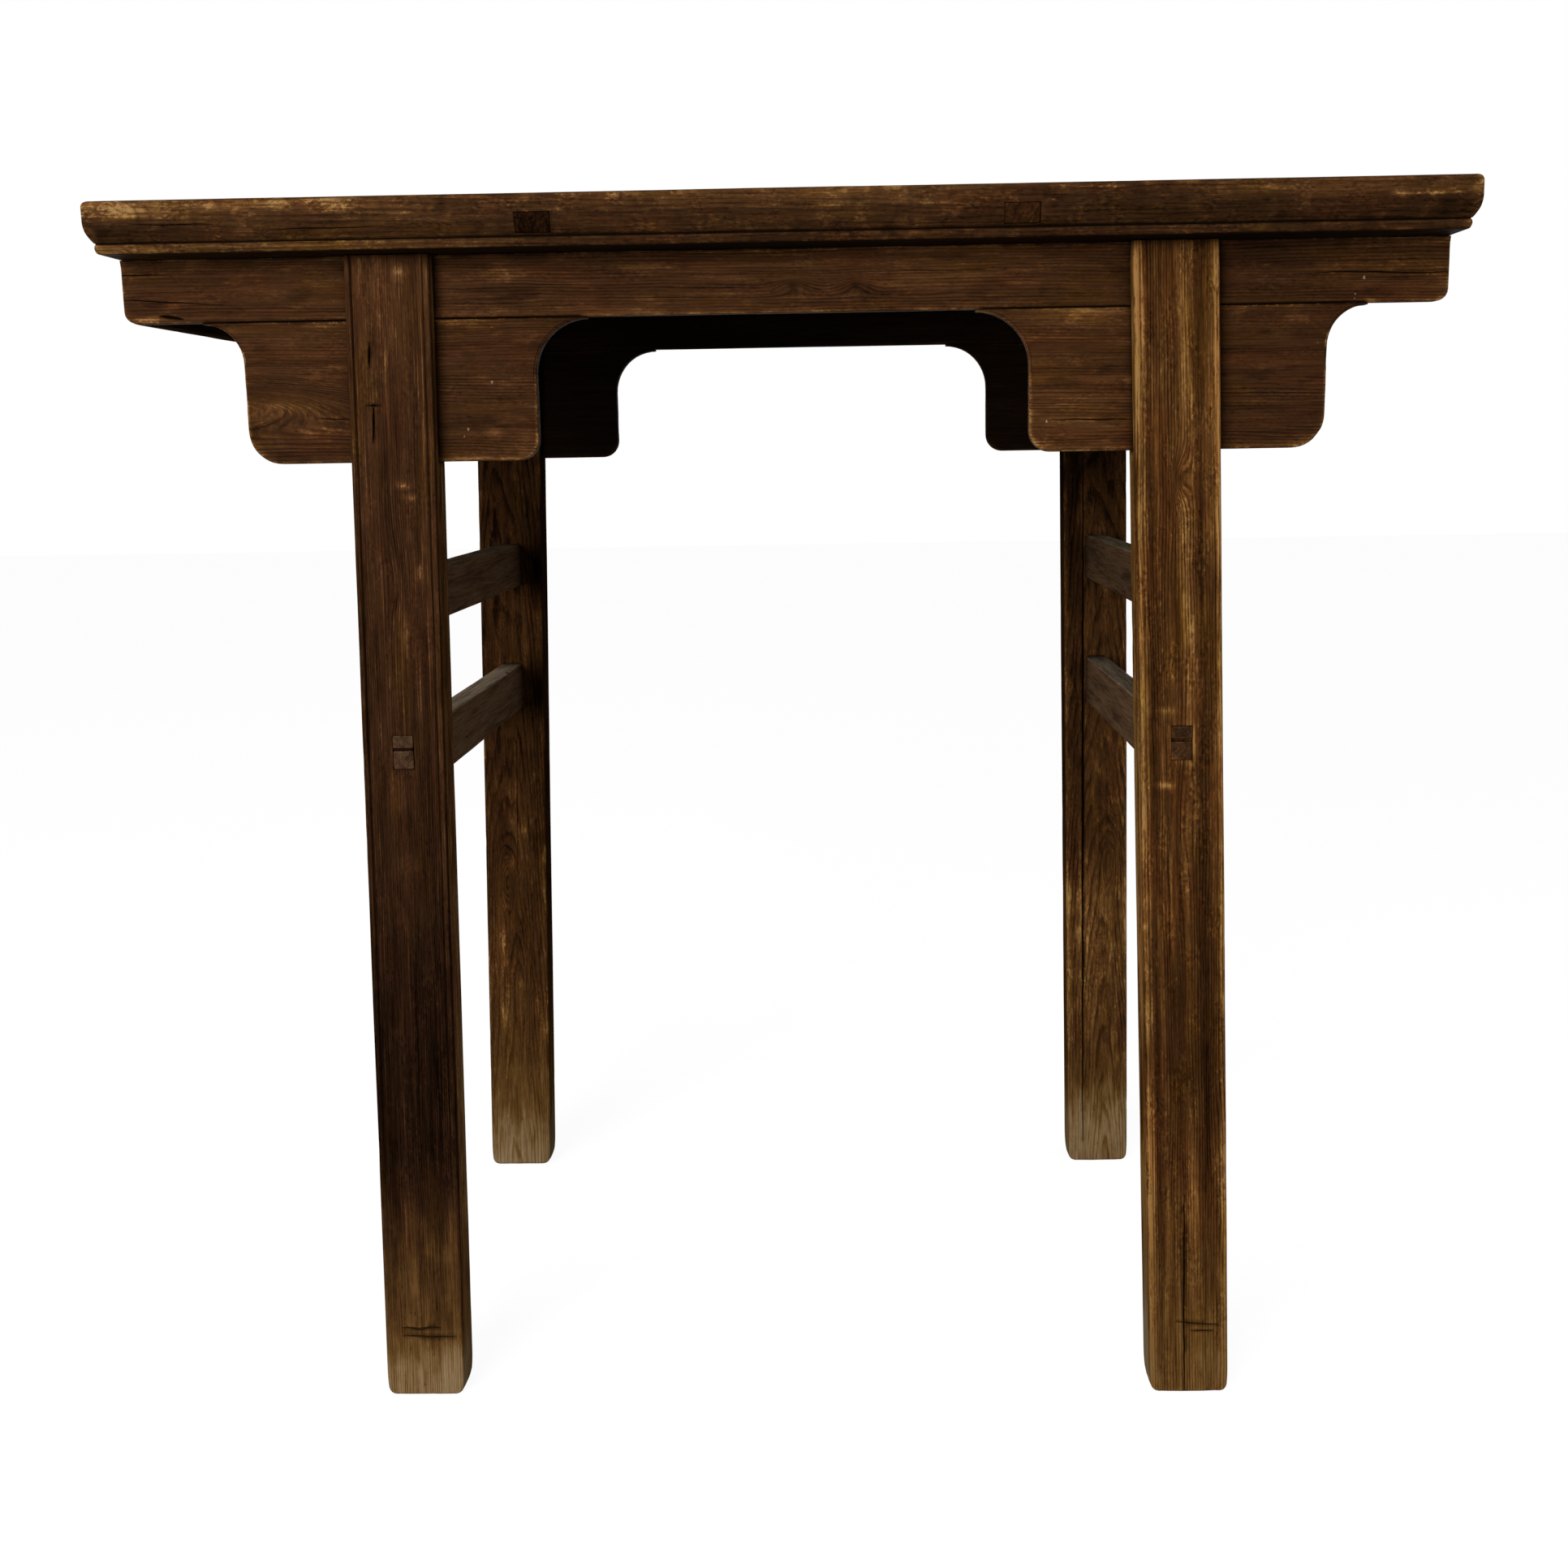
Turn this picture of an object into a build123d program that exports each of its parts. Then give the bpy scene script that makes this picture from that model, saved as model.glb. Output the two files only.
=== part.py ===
from build123d import *
import os

# A small Chinese recessed-leg altar table in softwood, built as a joiner builds it.
# Millimetres, +Z up. The origin is on the floor under the middle of the top.
# +X runs along the table, the front faces -Y. "Outward" is away from the middle.

# ---- Overall ----
table_height = 850.0
top_length = 904.0
top_depth = 520.0

# ---- Clearances of the joints ----
fit = 0.15  # each side of a tenon, tongue or slot
mortise_end_gap = 1.0  # beyond the end of a blind tenon
overshoot = 20.0  # how far a cutting block runs past what it cuts

# ---- Top frame: four moulded, mitred rails ----
rail_width = 75.0
rail_thickness = 34.0
edge_round = 5.0  # upper corner of the moulded edge
edge_face = 7.0  # upright part under the round corner
edge_undercut = 5.4  # how far the hollow under the face runs in
bead_height = 7.0  # small bead at the bottom of the edge
bead_nose = 1.8  # how far the bead stands out of its groove
bead_setback = 7.2  # bead groove, in from the outermost line
edge_sag = 1.6  # swell of the slope between face and bead
frame_tenon_width = 36.0
frame_tenon_thickness = 10.0
frame_tenon_drop = 14.0  # top face down to the frame tenon

# ---- Panel: boards edge to edge in a groove of the rails ----
panel_thickness = 10.0
panel_board_count = 3
panel_gap = 0.3  # room between panel shoulder and rail
tongue_length = 8.0
tongue_thickness = 5.0
tongue_rise = 1.0  # panel underside up to the tongue

# ---- Braces: cross bars under the panel ----
brace_width = 30.0
brace_height = 22.0
brace_from_leg = 103.6  # leg centre line to brace centre line
brace_key_height = 4.0  # dovetail key let into the panel
brace_key_root = 15.0
brace_key_head = 19.0
brace_tenon_width = 22.0
brace_tenon_height = 12.0
brace_tenon_drop = 13.0  # top face down to the brace tenon

# ---- Aprons and end board ----
apron_height = 42.0
apron_thickness = 12.0
apron_end_inset = 7.0  # end of the top to the end of the apron
apron_corner = 8.0
end_board_thickness = 20.0
end_board_round = 5.0
end_tenon_depth = 6.0
end_tenon_thickness = 9.0
end_tenon_margin = 9.0  # above and below the tenon

# ---- Spandrels: a shaped board under the apron at each leg ----
spandrel_width = 199.6
spandrel_height = 95.0
spandrel_shift = 4.5  # outward from the top of the leg
spandrel_inner_sweep = 36.0  # hollow corner towards the middle
spandrel_outer_sweep = 26.0
spandrel_inner_corner = 15.0
spandrel_outer_corner = 22.0
spandrel_tip = 1.5  # blunt end of a hollow corner
spandrel_tongue_length = 120.0
spandrel_tongue_thickness = 4.0
spandrel_tongue_height = 5.0

# ---- Legs ----
leg_width = 57.5
leg_depth = 34.0
leg_end_inset = 190.2  # end of the top to the leg centre line, at the rails
leg_face_inset = 30.7  # front of the top to the outer face, at the rails
leg_proud = 11.8  # outer face of the leg in front of the apron, at the rails
leg_splay_length = 19.1  # the foot stands this far out along the table
leg_splay_depth = 9.8  # and this far out across it
front_leg_drift = 4.3  # both front feet stand this far to the right
back_leg_drift = -5.4
leg_bead = 4.8
leg_groove = 1.2
leg_bead_fall = 0.3  # share of the groove's depth reached halfway down a bead
leg_back_chamfer = 2.0
leg_tenon_width = 30.0
leg_tenon_height = 18.0
leg_tenon_shoulder = 1.5

# ---- Side stretchers ----
stretcher_thickness = 19.7
upper_stretcher_drop = 212.8  # underside of the top to the top of the stretcher
upper_stretcher_height = 38.8
lower_stretcher_drop = 323.5
lower_stretcher_height = 41.5
upper_tenon_thickness = 11.0
upper_tenon_height = 24.0
upper_tenon_depth = 14.0
lower_tenon_thickness = 14.0
lower_tenon_height = 23.0
stretcher_tenon_drop = 0.5  # top of the stretcher to the top of its tenon

# ---- Wedges in the through tenons ----
wedge_length = 24.0
wedge_head = 2.4
wedge_point = 0.8
wedge_side_gap = 0.3
wedge_drop = 9.5  # top of the tenon to the middle of the wedge

# ---- Heights and lines that follow from the sizes above ----
half_length = top_length / 2
half_depth = top_depth / 2
underside = table_height - rail_thickness
apron_bottom = underside - apron_height
spandrel_bottom = apron_bottom - spandrel_height
apron_half_length = half_length - apron_end_inset
apron_face = half_depth - leg_face_inset - leg_proud
panel_underside = table_height - panel_thickness
leg_top_x = half_length - leg_end_inset
brace_x = leg_top_x - brace_from_leg

FRONT, BACK = -1, 1
LEFT, RIGHT = -1, 1
END_NAME = {FRONT: "front", BACK: "back"}
SIDE_NAME = {LEFT: "left", RIGHT: "right"}

nodes = {}


# ---- Small building blocks ----
def block(x_range, y_range, z_range):
    """A box between two values on each axis, given in either order."""
    spans = [sorted(pair) for pair in (x_range, y_range, z_range)]
    sizes = [high - low for low, high in spans]
    centre = [(high + low) / 2 for low, high in spans]
    return Pos(*centre) * Box(*sizes)


def around(centre, width, clearance=0.0):
    """The range of a width about its centre, widened by a clearance on each side."""
    return centre - width / 2 - clearance, centre + width / 2 + clearance


def prism(edges, direction):
    """The solid that a closed outline sweeps along a vector."""
    return Solid.extrude(Face(Wire(edges)), Vector(*direction))


def outline(points):
    """Straight edges through the points and back to the first."""
    return [Edge.make_line(a, b) for a, b in zip(points, points[1:] + points[:1])]


def quarter(start, centre, end):
    """A quarter circle from start to end about its centre."""
    start, centre, end = Vector(*start), Vector(*centre), Vector(*end)
    middle = centre + ((start - centre) + (end - centre)).normalized() * (start - centre).length
    return Edge.make_three_point_arc(start, middle, end)


def beam(start, end, width, z_range):
    """An upright-sided bar between two (x, y) points."""
    z_low, z_high = sorted(z_range)
    along = (Vector(*end, 0) - Vector(*start, 0)).normalized()
    side = Vector(-along.Y, along.X, 0) * (width / 2)
    a, b = Vector(*start, z_low), Vector(*end, z_low)
    return prism(outline([a - side, b - side, b + side, a + side]), (0, 0, z_high - z_low))


def one(shape):
    """The only solid of a boolean result; a piece in two parts stops the build."""
    (solid,) = shape.solids()
    return solid


# ---- Top frame ----
def rail_section(place):
    """The moulded section; place(inset, z) turns it into a point in space."""
    groove_z = underside + bead_height
    slope_top = table_height - edge_round - edge_face
    slope_z = (slope_top + groove_z) / 2
    slope_mid = (edge_undercut / 2 - edge_sag, slope_z)
    bead_mid = (bead_setback - bead_nose, underside + bead_height / 2)
    top_start = (edge_round, table_height)
    return [
        Edge.make_line(place(rail_width, table_height), place(*top_start)),
        quarter(place(*top_start), place(edge_round, table_height - edge_round),
                place(0, table_height - edge_round)),
        Edge.make_line(place(0, table_height - edge_round), place(0, slope_top)),
        Edge.make_three_point_arc(place(0, slope_top), place(*slope_mid),
                                  place(edge_undercut, groove_z)),
        Edge.make_line(place(edge_undercut, groove_z), place(bead_setback, groove_z)),
        Edge.make_three_point_arc(place(bead_setback, groove_z), place(*bead_mid),
                                  place(bead_setback, underside)),
        Edge.make_line(place(bead_setback, underside), place(rail_width, underside)),
        Edge.make_line(place(rail_width, underside), place(rail_width, table_height)),
    ]


def long_bar(end):
    """A long rail before its ends are mitred."""
    def place(inset, z):
        return (-half_length, end * (half_depth - inset), z)
    return prism(rail_section(place), (top_length, 0, 0))


def short_bar(side):
    """A short rail before its ends are mitred."""
    def place(inset, z):
        return (side * (half_length - inset), -half_depth, z)
    return prism(rail_section(place), (0, top_depth, 0))


def mitre_wedge(corners):
    """The upright prism that trims a rail to its mitres."""
    low = underside - overshoot
    points = [(x, y, low) for x, y in corners]
    return prism(outline(points), (0, 0, rail_thickness + 2 * overshoot))


def frame_tenon(side, end, clearance=0.0):
    """Through tenon at the end of a long rail, flush with the short rail's edge."""
    centre_y = end * (half_depth - rail_width / 2)
    top = table_height - frame_tenon_drop
    return block(
        (side * (half_length + clearance), side * (half_length - rail_width)),
        around(centre_y, frame_tenon_width, clearance),
        (top - frame_tenon_thickness - clearance, top + clearance),
    )


def panel_groove():
    """The room that the panel's tongue takes out of the rails."""
    reach = tongue_length + mortise_end_gap
    low = panel_underside + tongue_rise
    return block(
        around(0, top_length - 2 * rail_width, reach),
        around(0, top_depth - 2 * rail_width, reach),
        (low - fit, low + tongue_thickness + fit),
    )


def brace_tenon(x, end, clearance=0.0):
    """Through tenon at the end of a brace, before it is trimmed to the edge."""
    top = table_height - brace_tenon_drop
    return block(
        around(x, brace_tenon_width, clearance),
        (end * (half_depth + clearance), end * (half_depth - rail_width)),
        (top - brace_tenon_height - clearance, top + clearance),
    )


def leg_tenons(side, end, clearance=0.0):
    """The two tenons on top of a leg, one on each cheek of its slot."""
    outer_face = half_depth - leg_face_inset
    cheeks = [
        (outer_face, apron_face),
        (apron_face - apron_thickness, outer_face - leg_depth),
    ]
    tenons = []
    for outer, inner in cheeks:
        tenons.append(block(
            around(side * leg_top_x, leg_tenon_width, clearance),
            (end * (outer - leg_tenon_shoulder + clearance),
             end * (inner + leg_tenon_shoulder - clearance)),
            (underside, underside + leg_tenon_height + clearance),
        ))
    return tenons


def make_top_frame():
    x_out, x_in = half_length, half_length - rail_width
    y_out, y_in = half_depth, half_depth - rail_width
    for end in (FRONT, BACK):
        corners = [(-x_out, end * y_out), (x_out, end * y_out),
                   (x_in, end * y_in), (-x_in, end * y_in)]
        rail = (long_bar(end) & mitre_wedge(corners)) - panel_groove()
        for side in (LEFT, RIGHT):
            rail += frame_tenon(side, end) & short_bar(side)
            rail -= brace_tenon(side * brace_x, end, fit)
            for tenon in leg_tenons(side, end, fit):
                rail -= tenon
        nodes[f"top_rail_{END_NAME[end]}"] = one(rail)
    for side in (LEFT, RIGHT):
        corners = [(side * x_out, -y_out), (side * x_out, y_out),
                   (side * x_in, y_in), (side * x_in, -y_in)]
        rail = (short_bar(side) & mitre_wedge(corners)) - panel_groove()
        for end in (FRONT, BACK):
            rail -= frame_tenon(side, end, fit)
        nodes[f"top_rail_{SIDE_NAME[side]}"] = one(rail)


# ---- Panel and braces ----
def brace_key(x, clearance=0.0):
    """The dovetail on top of a brace, or the slot for it in the panel."""
    root = brace_key_root / 2 + clearance
    head = brace_key_head / 2 + clearance
    reach = half_depth - rail_width + (overshoot if clearance else -panel_gap)
    low, high = panel_underside, panel_underside + brace_key_height + clearance
    points = [(x - root, -reach, low), (x + root, -reach, low),
              (x + head, -reach, high), (x - head, -reach, high)]
    return prism(outline(points), (0, 2 * reach, 0))


def make_panel():
    x_shoulder = half_length - rail_width - panel_gap
    y_shoulder = half_depth - rail_width - panel_gap
    board_width = 2 * y_shoulder / panel_board_count
    tongue_z = (panel_underside + tongue_rise, panel_underside + tongue_rise + tongue_thickness)
    for index in range(panel_board_count):
        y_low = -y_shoulder + index * board_width
        y_high = y_low + board_width
        tongue_low = y_low - (tongue_length if index == 0 else 0)
        tongue_high = y_high + (tongue_length if index == panel_board_count - 1 else 0)
        board = block((-x_shoulder, x_shoulder), (y_low, y_high), (panel_underside, table_height))
        board += block(around(0, 2 * x_shoulder, tongue_length), (tongue_low, tongue_high), tongue_z)
        for side in (LEFT, RIGHT):
            board -= brace_key(side * brace_x, fit)
        nodes[f"panel_board_{index + 1}"] = one(board)


def make_braces():
    y_in = half_depth - rail_width
    for side in (LEFT, RIGHT):
        x = side * brace_x
        brace = block(around(x, brace_width), (-y_in, y_in),
                      (panel_underside - brace_height, panel_underside))
        brace += brace_key(x)
        for end in (FRONT, BACK):
            brace += brace_tenon(x, end) & long_bar(end)
        nodes[f"brace_{SIDE_NAME[side]}"] = one(brace)


# ---- Aprons, end board and spandrels ----
def end_tenon(side, end, clearance=0.0):
    """Stub tenon of an end board in the inner face of an apron."""
    inner_face = apron_face - apron_thickness
    x = side * (apron_half_length - end_board_thickness / 2)
    end_room = mortise_end_gap if clearance else 0
    return block(
        around(x, end_tenon_thickness, clearance),
        (end * inner_face, end * (inner_face + end_tenon_depth + end_room)),
        (apron_bottom + end_tenon_margin - clearance, underside - end_tenon_margin + clearance),
    )


def spandrel_centre(side):
    return side * (leg_top_x + spandrel_shift)


def spandrel_tongue(side, end, clearance=0.0):
    y = end * (apron_face - apron_thickness / 2)
    end_room = mortise_end_gap if clearance else 0
    return block(
        around(spandrel_centre(side), spandrel_tongue_length, clearance),
        around(y, spandrel_tongue_thickness, clearance),
        (apron_bottom, apron_bottom + spandrel_tongue_height + end_room),
    )


def make_aprons():
    for end in (FRONT, BACK):
        apron = block(
            (-apron_half_length, apron_half_length),
            (end * apron_face, end * (apron_face - apron_thickness)),
            (apron_bottom, underside),
        )
        lower_corners = apron.edges().filter_by(Axis.Y).sort_by(Axis.Z)[:2]
        apron = fillet(lower_corners, apron_corner)
        for side in (LEFT, RIGHT):
            # The right end board is lost; its sockets are still in the aprons.
            apron -= end_tenon(side, end, fit)
            apron -= spandrel_tongue(side, end, fit)
        nodes[f"apron_{END_NAME[end]}"] = one(apron)


def make_end_board():
    inner_face = apron_face - apron_thickness
    board = block(
        (-apron_half_length, -apron_half_length + end_board_thickness),
        (-inner_face, inner_face),
        (apron_bottom, underside),
    )
    outer_lower_edge = board.edges().filter_by(Axis.Y).group_by(Axis.Z)[0].sort_by(Axis.X)[0]
    board = fillet(outer_lower_edge, end_board_round)
    for end in (FRONT, BACK):
        board += end_tenon(LEFT, end)
    nodes["end_board_left"] = one(board)


def make_spandrels():
    half = spandrel_width / 2
    top, bottom = apron_bottom, spandrel_bottom
    for end in (FRONT, BACK):
        for side in (LEFT, RIGHT):
            def place(s, z):
                return (spandrel_centre(side) + side * s, end * apron_face, z)
            outer, inner = spandrel_outer_sweep, spandrel_inner_sweep
            low_outer, low_inner = spandrel_outer_corner, spandrel_inner_corner
            tip = top - spandrel_tip
            edges = [
                Edge.make_line(place(-half - inner, top), place(half + outer, top)),
                Edge.make_line(place(half + outer, top), place(half + outer, tip)),
                quarter(place(half + outer, tip), place(half + outer, tip - outer),
                        place(half, tip - outer)),
                Edge.make_line(place(half, tip - outer), place(half, bottom + low_outer)),
                quarter(place(half, bottom + low_outer), place(half - low_outer, bottom + low_outer),
                        place(half - low_outer, bottom)),
                Edge.make_line(place(half - low_outer, bottom), place(-half + low_inner, bottom)),
                quarter(place(-half + low_inner, bottom), place(-half + low_inner, bottom + low_inner),
                        place(-half, bottom + low_inner)),
                Edge.make_line(place(-half, bottom + low_inner), place(-half, tip - inner)),
                quarter(place(-half, tip - inner), place(-half - inner, tip - inner),
                        place(-half - inner, tip)),
                Edge.make_line(place(-half - inner, tip), place(-half - inner, top)),
            ]
            board = prism(edges, (0, -end * apron_thickness, 0)) + spandrel_tongue(side, end)
            nodes[f"spandrel_{END_NAME[end]}_{SIDE_NAME[side]}"] = one(board)


# ---- Legs ----
def foot_offset(side, end):
    """How far the foot stands from under the top of the leg."""
    drift = front_leg_drift if end == FRONT else back_leg_drift
    return side * leg_splay_length + drift, end * leg_splay_depth


def leg_point(side, end, z, inset):
    """A point on the leg's centre line, the given depth in from its outer face."""
    share = (underside - z) / underside
    dx, dy = foot_offset(side, end)
    x = side * leg_top_x + dx * share
    y = end * (half_depth - leg_face_inset - inset) + dy * share
    return x, y


def leg_bar(side, end):
    """The whole leg below the rails, with its beads, before any joint is cut."""
    x, face_y = leg_point(side, end, 0, 0)

    def place(s, inset):
        return (x + s, face_y - end * inset, 0)
    half, radius, corner = leg_width / 2, leg_bead / 2, leg_back_chamfer
    fall = (half - (radius + leg_bead) / 2, leg_groove * leg_bead_fall)
    edges = [
        Edge.make_line(place(-half + corner, leg_depth), place(half - corner, leg_depth)),
        Edge.make_line(place(half - corner, leg_depth), place(half, leg_depth - corner)),
        Edge.make_line(place(half, leg_depth - corner), place(half, radius)),
        quarter(place(half, radius), place(half - radius, radius), place(half - radius, 0)),
        Edge.make_three_point_arc(place(half - radius, 0), place(*fall),
                                  place(half - leg_bead, leg_groove)),
        Edge.make_three_point_arc(place(half - leg_bead, leg_groove), place(0, 0),
                                  place(-half + leg_bead, leg_groove)),
        Edge.make_three_point_arc(place(-half + leg_bead, leg_groove), place(-fall[0], fall[1]),
                                  place(-half + radius, 0)),
        quarter(place(-half + radius, 0), place(-half + radius, radius), place(-half, radius)),
        Edge.make_line(place(-half, radius), place(-half, leg_depth - corner)),
        Edge.make_line(place(-half, leg_depth - corner), place(-half + corner, leg_depth)),
    ]
    dx, dy = foot_offset(side, end)
    return prism(edges, (-dx, -dy, underside))


def leg_slot(end):
    """The upright slot in which apron and spandrel pass through a leg."""
    return block(
        (-half_length, half_length),
        (end * (apron_face + fit), end * (apron_face - apron_thickness - fit)),
        (spandrel_bottom, underside + overshoot),
    )


def stretcher_beam(side, top, height, thickness, inset, clearance=0.0):
    """A straight bar from one leg to the other, starting inset deep behind their outer faces."""
    middle = top - height / 2
    start = leg_point(side, FRONT, middle, inset)
    end = leg_point(side, BACK, middle, inset)
    return beam(start, end, thickness + 2 * clearance, (top - height - clearance, top + clearance))


def stretcher_tenons(side, level, clearance=0.0):
    """One straight bar that holds both tenons of a stretcher."""
    if level == "upper":
        top = underside - upper_stretcher_drop - stretcher_tenon_drop
        end_room = mortise_end_gap if clearance else 0
        inset = leg_depth - upper_tenon_depth - end_room
        return stretcher_beam(side, top, upper_tenon_height, upper_tenon_thickness, inset, clearance)
    top = underside - lower_stretcher_drop - stretcher_tenon_drop
    return stretcher_beam(side, top, lower_tenon_height, lower_tenon_thickness, -overshoot, clearance)


def make_legs():
    for end in (FRONT, BACK):
        for side in (LEFT, RIGHT):
            leg = leg_bar(side, end) - leg_slot(end)
            for tenon in leg_tenons(side, end):
                leg += tenon
            for level in ("upper", "lower"):
                leg -= stretcher_tenons(side, level, fit)
            nodes[f"leg_{END_NAME[end]}_{SIDE_NAME[side]}"] = one(leg)


# ---- Stretchers and their wedges ----
def wedge(side, end, cut=False):
    """A flat wedge in a lower tenon, or the kerf that it is driven into."""
    top = underside - lower_stretcher_drop - stretcher_tenon_drop
    z = top - wedge_drop
    x, face_y = leg_point(side, end, z, 0)
    point_y = face_y - end * wedge_length
    head_y = face_y + end * overshoot
    flare = (wedge_head - wedge_point) / 2 * overshoot / wedge_length
    head, point = wedge_head / 2 + flare, wedge_point / 2
    half = lower_tenon_thickness / 2 + (overshoot if cut else -wedge_side_gap)
    points = [(x - half, head_y, z - head), (x - half, head_y, z + head),
              (x - half, point_y, z + point), (x - half, point_y, z - point)]
    return prism(outline(points), (2 * half, 0, 0))


def make_stretchers():
    levels = {
        "upper": (upper_stretcher_drop, upper_stretcher_height),
        "lower": (lower_stretcher_drop, lower_stretcher_height),
    }
    wedges = []
    for side in (LEFT, RIGHT):
        bars = [leg_bar(side, end) for end in (FRONT, BACK)]
        for level, (drop, height) in levels.items():
            top = underside - drop
            body = stretcher_beam(side, top, height, stretcher_thickness, leg_depth / 2)
            for bar in bars:
                body = body - bar
            tenons = stretcher_tenons(side, level)
            if level == "lower":
                tenons = tenons & (bars[0] + bars[1] + body)
                for end in (FRONT, BACK):
                    tenons = tenons - wedge(side, end, cut=True)
                    wedges.append(one(wedge(side, end) & bars[0 if end == FRONT else 1]))
            nodes[f"stretcher_{level}_{SIDE_NAME[side]}"] = one(body + tenons)
    nodes["tenon_wedges"] = Compound(children=wedges)


def main():
    make_top_frame()
    make_panel()
    make_braces()
    make_aprons()
    make_end_board()
    make_spandrels()
    make_legs()
    make_stretchers()
    os.makedirs("parts", exist_ok=True)
    for name, shape in nodes.items():
        export_step(shape, f"parts/{name}.step")


main()
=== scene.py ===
import itertools
import math

import bmesh
import bpy
import numpy as np
from mathutils import Matrix, Vector
from mathutils.bvhtree import BVHTree
from mathutils.kdtree import KDTree


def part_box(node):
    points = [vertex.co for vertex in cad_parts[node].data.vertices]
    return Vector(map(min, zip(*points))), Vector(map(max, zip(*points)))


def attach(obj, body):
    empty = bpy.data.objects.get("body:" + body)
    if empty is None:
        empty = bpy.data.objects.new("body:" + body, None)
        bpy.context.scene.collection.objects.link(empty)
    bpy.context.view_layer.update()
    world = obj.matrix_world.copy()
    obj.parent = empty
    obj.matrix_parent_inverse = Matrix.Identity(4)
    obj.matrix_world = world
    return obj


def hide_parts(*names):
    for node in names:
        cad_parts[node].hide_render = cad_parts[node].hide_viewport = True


# The looks of a small Chinese recessed-leg altar table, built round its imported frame.
# Places and sizes are in mm, in the frame's axes: +X along the table, the front faces -Y, +Z up.

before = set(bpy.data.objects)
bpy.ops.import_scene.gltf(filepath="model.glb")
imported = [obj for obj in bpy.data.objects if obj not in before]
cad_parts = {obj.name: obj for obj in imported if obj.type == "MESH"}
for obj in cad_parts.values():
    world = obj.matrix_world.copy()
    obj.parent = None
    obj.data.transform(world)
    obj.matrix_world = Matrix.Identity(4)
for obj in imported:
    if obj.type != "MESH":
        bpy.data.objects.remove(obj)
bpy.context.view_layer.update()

MM = 0.001
FRONT, BACK = -1, 1
LEFT, RIGHT = -1, 1
ENDS = {FRONT: "front", BACK: "back"}
SIDES = {LEFT: "left", RIGHT: "right"}
X_AXIS, Y_AXIS, Z_AXIS = 0, 1, 2


def corner_name(end, side):
    return f"{ENDS[end]}_{SIDES[side]}"


# ---------------------------------------------------------------- sizes
def span(node):
    """Lowest and highest corner of a CAD node."""
    low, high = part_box(node)
    return np.array(low) / MM, np.array(high) / MM


rail_low, rail_high = span("top_rail_front")
apron_low, apron_high = span("apron_front")
half_length, half_depth = rail_high[0], -rail_low[1]
table_height, underside = rail_high[2], rail_low[2]
rail_width = rail_high[1] + half_depth
rail_middle_z = 833.0
apron_face, apron_inner = -apron_low[1], -apron_high[1]
apron_heart = apron_face - 6.0  # half-way through the board, where its grain is measured from
apron_half_length = apron_high[0]
apron_bottom = apron_low[2]
spandrel_bottom = span("spandrel_front_left")[0][2]
brace_low, brace_high = span("brace_right")
brace_x = (brace_low[0] + brace_high[0]) / 2

# The moulded edge, in from the outermost line and down from the top.
edge_round = 5.0
edge_face = 7.0
edge_undercut = 5.4
edge_sag = 1.6
bead_height = 7.0
bead_setback = 7.2
bead_nose = 1.8
mitre_gap = 0.12
corner_round = 1.6  # worn outer corner of the frame, seen from above

# The panel, its braces and the end board.
panel_gap = 0.3
seam_half = 0.15
tongue_reach = 7.8
tongue_bottom, tongue_top = 1.0, 6.0
brace_half = 15.0
key_height = 4.0  # of the dovetail key on a brace, which the panel hides
board_gap = 0.2
stub_reach = 5.8
stub_side, stub_end = 5.6, 9.2  # in from the board's faces and from its edges
socket_half, socket_depth, socket_end = 4.65, 7.0, 9.0

# The spandrels' outline.
sweep_inner = 36.0
sweep_outer = 26.0
corner_inner = 15.0
corner_outer = 22.0
spandrel_tip = 1.5

# The legs.
leg_width = 57.5
leg_depth = 34.0
leg_half = leg_width / 2
foot_round = 6.0  # seen from the front
foot_edge = 2.0  # seen from the side
corner_wear = 1.0
bead_wear = (60.0, 330.0)  # the bead fades out between these heights
slot_gap = 0.3
stretcher_half = 9.85

# The through tenons.
frame_middle_y = half_depth - rail_width / 2
frame_tenon_width = 36.0
frame_tenon_top = table_height - 14.0
frame_tenon_bottom = frame_tenon_top - 10.0
brace_tenon_top = table_height - 13.0
brace_tenon_bottom = brace_tenon_top - 12.0
brace_tenon_half = 11.0
lower_tenon_half = 7.0
lower_tenon_height = 23.0
tenon_drop = 0.5
tenon_sink = 0.35  # how far the ends lie behind the moulded edge
mortise_gap = 0.45
frame_mortise_half = frame_tenon_width / 2 + 0.5
cutter_reach = 30.0  # how far a cutter for a mortise goes beyond the wood
wedge_drop = 9.5
wedge_half_height = 1.2


# ---------------------------------------------------------------- numbers
WORD = np.uint64(0xFFFFFFFF)


def lattice(cell, seed):
    """A repeatable value from 0 to 1 for each whole-number cell."""
    x, y, z = (cell[:, k].astype(np.uint64) for k in range(3))
    mixed = x * np.uint64(73856093) ^ y * np.uint64(19349663) ^ z * np.uint64(83492791)
    mixed = (mixed ^ np.uint64(seed * 2654435761 + 12345)) & WORD
    for factor in (2246822519, 3266489917):
        mixed = ((mixed ^ (mixed >> np.uint64(15))) * np.uint64(factor)) & WORD
    return (mixed ^ (mixed >> np.uint64(16))).astype(float) / float(WORD)


def noise(points, size, seed):
    """Smooth random values from -1 to 1; size is the width of a bump on each axis."""
    scaled = points / np.asarray(size, float)
    cell = np.floor(scaled).astype(np.int64)
    part = scaled - cell
    part = part * part * (3 - 2 * part)
    total = np.zeros(len(points))
    for corner in itertools.product((0, 1), repeat=3):
        weight = np.prod(np.where(corner, part, 1 - part), axis=1)
        total += weight * lattice(cell + np.array(corner), seed)
    return 2 * total - 1


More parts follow.
